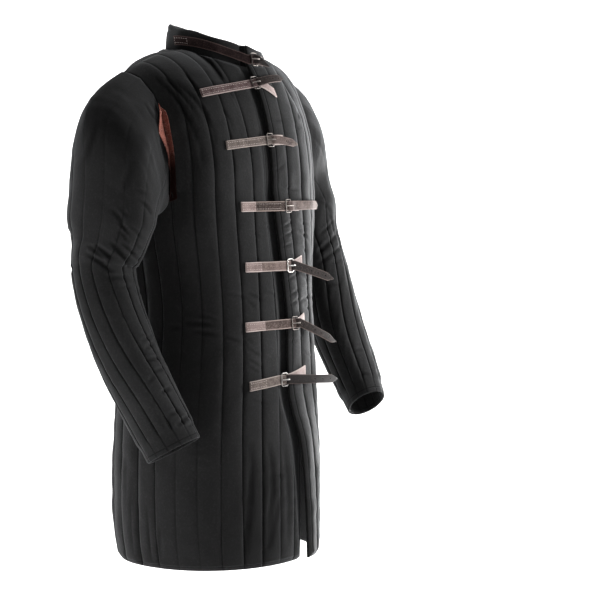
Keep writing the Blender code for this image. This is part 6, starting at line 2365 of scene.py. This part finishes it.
# The strip's section: across as a share of its half width, up as a share of its thickness.
STRIP_SECTION = (
    (-0.97, 0.10), (-1.00, 0.35), (-1.00, 0.65), (-0.97, 0.90), (-0.90, 1.00), (-0.60, 1.06),
    (-0.20, 1.08), (0.20, 1.08), (0.60, 1.06), (0.90, 1.00), (0.97, 0.90), (1.00, 0.65),
    (1.00, 0.35), (0.97, 0.10), (0.90, 0.00), (0.30, 0.00), (-0.30, 0.00), (-0.90, 0.00),
)
STRIP_TURNS = (0, 1, 2, 3, 10, 11, 12, 13)


def strip(name, path, places, half, thick, free_end, tip, seed):
    """A fine strap or tab along places (s, n), with rounded edges, slight waves along its
    sides and, on a strap, a pointed tail. Also gives its fine places and their lengths."""
    fine = resampled(rounded(places), STRIP_STEP)
    along = lengths_of(fine)
    rings, marks = [], []
    for k, (s, n) in enumerate(fine):
        normal, _ = square_to(fine, k)
        left = along[-1] - along[k]
        wide = half * (1.0 + SIDE_WAVE * math.sin(along[k] / SIDE_WAVE_LONG + seed * 2.3))
        if tip:
            past = min(max(s / max(free_end[0], 0.03), 0.0), 1.0)
            wide *= 1.0 - TAIL_NARROWS * ease(past * 1.6)
        if tip and left < POINT_LENGTH:
            wide *= mix(POINT_BLUNT, 1.0, (left / POINT_LENGTH) ** POINT_ROUND)
        elif not tip and left < 0.0015 or along[k] < 0.0012:
            wide *= 0.97
        w = path.drift(s, free_end)
        ring = []
        for across, up in STRIP_SECTION:
            rise = up * thick
            ring.append(path.world(s + normal[0] * rise, n + normal[1] * rise,
                                   w + across * wide))
        rings.append(ring)
        strong = 1.0 if s < 0.0 or not tip else 0.62
        marks += [strong * (1.0 if c in STRIP_TURNS else (0.80 if c in (4, 9) else 0.0))
                  for c in range(len(STRIP_SECTION))]
    obj = mesh_object(name, loft(rings))
    set_edges(obj, marks)
    return obj, fine, along


# Along a strap from its buckle's middle: where it starts to climb over the bar, is over it
# and stays level to, and where a tail that lies on the cloth has come down.
DIPS_AT, CLIMBED_AT, LEVEL_TO, LIES_FROM = -0.0052, 0.0050, 0.0095, 0.022
TAIL_BEND = 0.45         # share of its length at which a tail that stands off bends
TAIL_POINTS = 8


def strap_places(path):
    start = path.sewn[0]
    places = [offset_point(path.line, start, LEATHER_UP)]
    for s in path.corners(start, -FLAT_HALF):
        places.append(offset_point(path.line, s, LEATHER_UP))
    for u, up in ((-FLAT_HALF + 0.001, LEATHER_UP), (DIPS_AT, LEATHER_UP),
                  (CLIMBED_AT, OVER_BAR_UP), (LEVEL_TO, OVER_BAR_UP)):
        places.append(path.at_buckle(u, up))
    if path.tail_flat:
        for s in [LIES_FROM] + path.corners(LIES_FROM, path.tail[0]) + [path.tail[0]]:
            places.append(offset_point(path.line, s, OVER_TAB_UP))
        return places
    first = places[-1]
    bend = path.at_buckle(TAIL_BEND * path.tail[0], OVER_BAR_UP)
    for n in range(1, TAIL_POINTS + 1):
        t = n / TAIL_POINTS
        low = (mix(first[0], bend[0], t), mix(first[1], bend[1], t))
        high = (mix(bend[0], path.tail[0], t), mix(bend[1], path.tail[1], t))
        places.append((mix(low[0], high[0], t), mix(low[1], high[1], t)))
    return places


def nearest_to(along, length):
    """Which of the lengths along a line is nearest to this one."""
    return min(range(len(along)), key=lambda k: abs(along[k] - length))


HOLE, HOLE_DEEP = 0.0014, 0.006     # half width, and length of the punch
# Distances of each strap's holes from its pointed end, past the buckle.
HOLES = (
    (0.022,), (0.024, 0.046), (0.022, 0.040), (0.026, 0.046, 0.066), (0.024, 0.046, 0.066),
    (0.024, 0.046, 0.066), (0.026, 0.050, 0.074),
)


def punched(obj, path, fine, along, free_end, distances):
    """Cuts the holes of a strap's tail through it, at distances from its end."""
    cutters = bmesh.new()
    for distance in distances:
        k = nearest_to(along, along[-1] - distance)
        _, way = square_to(fine, k)
        s, n = fine[k]
        centre = path.world(s, n, path.drift(s, free_end))
        x = path.along * way[0] + path.out * way[1]
        z = path.out * way[0] - path.along * way[1]
        turned = placed(x, path.across, z, centre + z * STRAP_THICK / 2)
        bmesh.ops.create_cone(cutters, cap_ends=True, segments=14, radius1=HOLE, radius2=HOLE,
                              depth=HOLE_DEEP, matrix=turned)
    cutter = mesh_object("cutter", cutters)
    settle(obj, ("BOOLEAN", {"operation": "DIFFERENCE", "object": cutter, "solver": "EXACT"}))
    bpy.data.objects.remove(cutter, do_unlink=True)


THREAD = 0.00042         # the waxed thread's half width
PITCH = 0.0036           # from one stitch to the next
STITCH_SHOWS = (0.16, 0.84)     # of the pitch: from where to where the thread is outside
# Along a stitch: how far, how thick as a share, and how high in half widths.
STITCH_FORM = (
    (0.0, 0.35, -0.9), (0.18, 0.9, 0.1), (0.5, 1.0, 0.35), (0.82, 0.9, 0.1), (1.0, 0.35, -0.9),
)


def stitches(name, runs):
    """Thread laid in even stitches along runs of (start, end, out) in space."""
    bm = bmesh.new()
    for start, end, out in runs:
        span = end - start
        count = max(int(span.length / PITCH), 1)
        way = span.normalized()
        side = way.cross(out).normalized()
        for k in range(count):
            a, b = (start + span * ((k + part) / count) for part in STITCH_SHOWS)
            rings = []
            for t, size, lift in STITCH_FORM:
                middle = a.lerp(b, t) + out * (lift * THREAD * 0.9)
                rings.append([
                    bm.verts.new(middle + (side * math.cos(q) + out * math.sin(q)) * THREAD
                                 * size)
                    for q in (n * math.pi / 3 for n in range(6))
                ])
            bm.faces.new(rings[0])
            bm.faces.new(rings[-1])
            for low, high in zip(rings, rings[1:]):
                bridge(bm, low, high)
    obj = mesh_object(name, bm)
    give(obj, THREAD_LOOK, "strap_leather" if "strap" in name else "tab_leather")
    return obj


def on_face(path, fine, along, length, lift, free_end):
    """The place, direction out and sideways place on a strip's face at a length along it."""
    n = min(max(nearest_to(along, length), 1), len(fine) - 2)
    normal, _ = square_to(fine, n)
    s, h = fine[n]
    return ((s + normal[0] * lift, h + normal[1] * lift),
            path.along * normal[0] + path.out * normal[1], path.drift(s, free_end))


def run_points(path, fine, along, start, end, sideways, half, thick, free_end):
    """Short straight runs along a strip's face from one length to another."""
    places = []
    count = max(int((end - start) / PITCH), 1)
    for k in range(count + 1):
        (s, h), out, w = on_face(path, fine, along, mix(start, end, k / count),
                                 thick * 1.07, free_end)
        places.append((path.world(s, h, w + sideways * half), out))
    return [(a[0], b[0], a[1]) for a, b in zip(places, places[1:])]


# How much of each strap is sewn down, from its end.
SEWN_BY_STRAP = (0.030, 0.046, 0.036, 0.030, 0.034, 0.038, 0.036)
# Each strap's width as a share of the solid's, and how far before the buckle its two long
# rows of stitches end, or None where they end with the sewn part.
STRAP_SHARE = (0.88, 0.80, 0.80, 0.88, 0.88, 0.86, 0.88)
ROWS_TO = (None, 0.016, 0.016, 0.016, None, None, None)
ROW_APART = 0.50         # of the half width
ROWS_FROM = 0.0030       # from the strap's end
CROSS_ROW, CROSS_HALF = 0.0028, 0.80    # the row across its end, and its half length as a share
LOOK_PAST = 0.0015       # the sewn part's look goes on this far past its last row
TAIL_FROM = 0.001        # and the tail's starts here, past the middle of the buckle
# A tab: where it starts, where its rows of stitches start, how far apart they are as a share
# of the half width, and the shortest tab that has them.
TAB_FROM, TAB_ROWS_FROM, TAB_ROW_APART, TAB_SEWN_LENGTH = 0.0056, 0.010, 0.80, 0.016


def make_strap(number, path):
    name = f"strap_{number}"
    half = STRAP_HALF * STRAP_SHARE[number - 1]
    free_end = (path.tail[0], path.tail[2])
    obj, fine, along = strip(name + "_leather", path, strap_places(path), half, STRAP_THICK,
                             free_end, True, number)
    sewn = SEWN_BY_STRAP[number - 1]
    rows_to = ROWS_TO[number - 1]
    rows_end = sewn
    if rows_to is not None:
        rows_end = max(a for a, (s, _) in zip(along, fine) if s < -rows_to)
    runs = []
    for side in (-ROW_APART, ROW_APART):
        runs += run_points(path, fine, along, ROWS_FROM, rows_end, side, half, STRAP_THICK,
                           free_end)
    punched(obj, path, fine, along, free_end, HOLES[number - 1])
    sewn_look, middle_look, tail_look = (LEATHER[look] for look in STRAP_LOOKS[number - 1])
    give(obj, middle_look, "strap_leather", name)
    obj.data.materials.append(sewn_look)
    obj.data.materials.append(tail_look)
    limit = fine[nearest_to(along, sewn + LOOK_PAST)][0]
    for face in obj.data.polygons:
        s = path.local(face.center)[0]
        face.material_index = 1 if s < limit else (2 if s > TAIL_FROM else 0)
    wide = half * CROSS_HALF
    for at in (CROSS_ROW, sewn):
        (s, h), out, w = on_face(path, fine, along, at, STRAP_THICK * 1.08, free_end)
        runs.append((path.world(s, h, w - wide), path.world(s, h, w + wide), out))
    stitches(f"strap_{number}_thread", runs)


def make_tab(number, path):
    name = f"tab_{number}"
    places = [path.at_buckle(u, LEATHER_UP) for u in (TAB_FROM, FLAT_HALF - 0.001)]
    for s in path.corners(FLAT_HALF, path.tab) + [path.tab]:
        places.append(offset_point(path.line, s, LEATHER_UP))
    free_end = (path.tab, path.tab_rise)
    obj, fine, along = strip(name + "_leather", path, places, TAB_HALF, STRAP_THICK, free_end,
                             False, number)
    give(obj, LEATHER["tab"], "tab_leather", name)
    runs = []
    if along[-1] > TAB_SEWN_LENGTH:
        for side in (-TAB_ROW_APART, TAB_ROW_APART):
            runs += run_points(path, fine, along, TAB_ROWS_FROM, along[-1] - 0.002, side,
                               TAB_HALF, STRAP_THICK, free_end)
        stitches(f"tab_{number}_thread", runs)


def swept(name, line, half_wide, half_tall, closed):
    """A bar with an oval section along points, each with its size as a share."""
    bm = bmesh.new()
    rings = []
    count = len(line)
    for k, (point, size) in enumerate(line):
        before = line[k - 1][0] if closed or k else point
        after = line[(k + 1) % count][0] if closed or k < count - 1 else point
        way = (after - before).normalized()
        up = Vector((0.0, 0.0, 1.0))
        up = (up - way * up.dot(way)).normalized()
        side = way.cross(up)
        rings.append([
            bm.verts.new(point + (side * math.cos(q) * half_wide + up * math.sin(q) * half_tall)
                         * size)
            for q in (n * math.pi / 6 for n in range(12))
        ])
    pairs = list(zip(rings, rings[1:])) + ([(rings[-1], rings[0])] if closed else [])
    for low, high in pairs:
        bridge(bm, low, high)
    if not closed:
        bm.faces.new(rings[0])
        bm.faces.new(rings[-1])
    return mesh_object(name, bm)


BUCKLE_CORNER = 0.0030
WIRE = (0.0008, 0.0009)             # half width and half height of the frame's wire
WIRE_INSET = (0.0010, 0.0008)       # its middle lies this far inside the frame's outline


def steel_of(number):
    # Painted shade: some buckles get the darker copy of the steel.
    return SHADED_STEEL_LOOK if number in SHADED_BUCKLES else STEEL_LOOK


def make_buckle(number, path):
    name = f"buckle_{number}"
    wide, tall = BUCKLE_HALF_WIDE - WIRE_INSET[0], BUCKLE_HALF_TALL - WIRE_INSET[1]
    corner = BUCKLE_CORNER
    line = []
    for sx, sy, turn in ((1, 1, 0), (-1, 1, 1), (-1, -1, 2), (1, -1, 3)):
        for k in range(6):
            a = (turn + k / 5) * math.pi / 2
            line.append((Vector((sx * (wide - corner) + math.cos(a) * corner,
                                 sy * (tall - corner) + math.sin(a) * corner, 0.0)), 1.0))
    obj = swept(name + "_steel", line, *WIRE, True)
    obj.data.transform(path.matrix(0.0, BUCKLE_UP + BUCKLE_THICK / 2))
    give(obj, steel_of(number), "steel", name)


PRONG_STEPS = 14
PRONG_PAST = 0.0006      # it reaches this far past the solid's
PRONG_BOW = 0.0004       # and rises this much between its ends
PRONG_TIP = 0.62         # its size at the tip, as a share


def make_prong(number, path):
    name = f"prong_{number}"
    low, high = PRONG_UP
    start, end = PRONG_REACH
    line = []
    for k in range(PRONG_STEPS + 1):
        t = k / PRONG_STEPS
        s = mix(start, end + PRONG_PAST, t)
        n = mix(low, high, ease(t)) + PRONG_THICK / 2 + PRONG_BOW * math.sin(math.pi * t)
        size = mix(PRONG_TIP, 1.0, min(t * 1.6, 1.0))
        line.append((Vector((s, 0.0, n)), size * (0.6 if k == 0 else 1.0)))
    # Its last point starts round the bar of the frame.
    a = math.pi / 2 - math.pi / 4.6
    bar, centre_n = BUCKLE_HALF_WIDE - 0.0011, BUCKLE_UP + BUCKLE_THICK / 2 + 0.0012
    line.append((Vector((bar + math.cos(a) * 0.0024, 0.0,
                         max(centre_n + math.sin(a) * 0.0030, 0.0026))), 0.95))
    obj = swept(name + "_steel", line, PRONG_WIDE / 2, PRONG_THICK / 2, False)
    obj.data.transform(path.matrix(0.0, 0.0))
    give(obj, steel_of(number), "steel", name)


STRAPPED = surface_of(RIGHT, LEFT, COLLAR)
for number, row in enumerate(STRAPS, start=1):
    path = StrapPath(STRAPPED, row)
    make_strap(number, path)
    make_tab(number, path)
    make_buckle(number, path)
    make_prong(number, path)

# ---- stage -----------------------------------------------------------------------------
FLOOR_Z = -1.46          # where the wearer would stand
SWEEP_NEAR, SWEEP_FAR = -4.0, 3.2   # from the neck toward the camera and away from it
SWEEP_HALF, SWEEP_TALL, SWEEP_BEND = 6.0, 5.0, 1.2


def make_stage():
    """A pale sweep: floor, a wide bend and a wall behind."""
    n = Nodes("pale_paper")
    where = n.add("ShaderNodeTexCoord").outputs["Object"]
    n.put(n.shader.inputs["Base Color"],
          n.ramp(n.noise(where, 3.0), ((0.3, grey(0.90)), (0.7, grey(0.93)))))
    n.shader.inputs["Roughness"].default_value = 0.9
    rings = []
    bend = SWEEP_BEND
    far = SWEEP_FAR
    profile = [(SWEEP_NEAR, 0.0), (far - bend, 0.0)]
    profile += [(far - bend + bend * math.sin(a), bend - bend * math.cos(a))
                for a in (k * math.pi / 24 for k in range(1, 13))]
    profile.append((far, SWEEP_TALL))
    bm = bmesh.new()
    for across in (-SWEEP_HALF, SWEEP_HALF):
        rings.append([bm.verts.new(VIEW * s + VIEW_RIGHT * across + Vector((0, 0, FLOOR_Z + h)))
                      for s, h in profile])
    for k in range(len(profile) - 1):
        bm.faces.new((rings[0][k], rings[0][k + 1], rings[1][k + 1], rings[1][k]))
    floor = mesh_object("floor", bm)
    floor.data.materials.append(n.material)


def area_light(name, place, size, power, aim):
    data = bpy.data.lights.new(name, "AREA")
    data.shape = "RECTANGLE"
    data.size, data.size_y = size
    data.energy = power
    light = linked(name, data)
    light.location = place
    light.rotation_mode = "QUATERNION"
    light.rotation_quaternion = (Vector(aim) - Vector(place)).to_track_quat("-Z", "Y")


# Where each light stands (right of, beyond and above the neck as the camera sees it), the
# size of its face, its power and what it is aimed at.
LIGHTS = (
    ("key", (2.1, 2.3, -1.1), (0.7, 1.0), 290.0, (0.1, 0.0, -0.6)),
    ("chest", (1.7, -0.1, -0.15), (0.5, 0.5), 42.0, (0.15, 0.0, -0.22)),
    ("left", (-1.9, -1.2, -1.2), (1.0, 1.4), 44.0, (0.0, 0.0, -0.8)),
    ("front", (0.3, -2.4, -0.5), (1.2, 1.2), 9.0, (0.0, 0.0, -0.5)),
    ("rim", (-2.0, 1.6, -1.0), (0.8, 1.6), 28.0, (0.0, 0.0, -0.6)),
    ("paper", (0.0, 0.9, 2.2), (4.0, 1.0), 170.0, (0.0, 3.2, -0.6)),
    ("low_paper", (2.2, 0.9, -1.0), (1.0, 2.0), 120.0, (1.0, 3.2, -0.6)),
)
WORLD_STRENGTH = 0.07


def make_light():
    world = bpy.data.worlds.new("studio")
    world.use_nodes = True
    background = world.node_tree.nodes["Background"]
    background.inputs["Color"].default_value = (1.0, 1.0, 1.0, 1.0)
    background.inputs["Strength"].default_value = WORLD_STRENGTH
    bpy.context.scene.world = world
    bpy.context.scene.view_settings.view_transform = "Standard"

    def from_camera(right, beyond, up):
        return VIEW_RIGHT * right + VIEW * beyond + Vector((0.0, 0.0, up))

    for name, place, size, power, aim in LIGHTS:
        area_light(name, from_camera(*place), size, power, from_camera(*aim))


make_stage()
make_light()
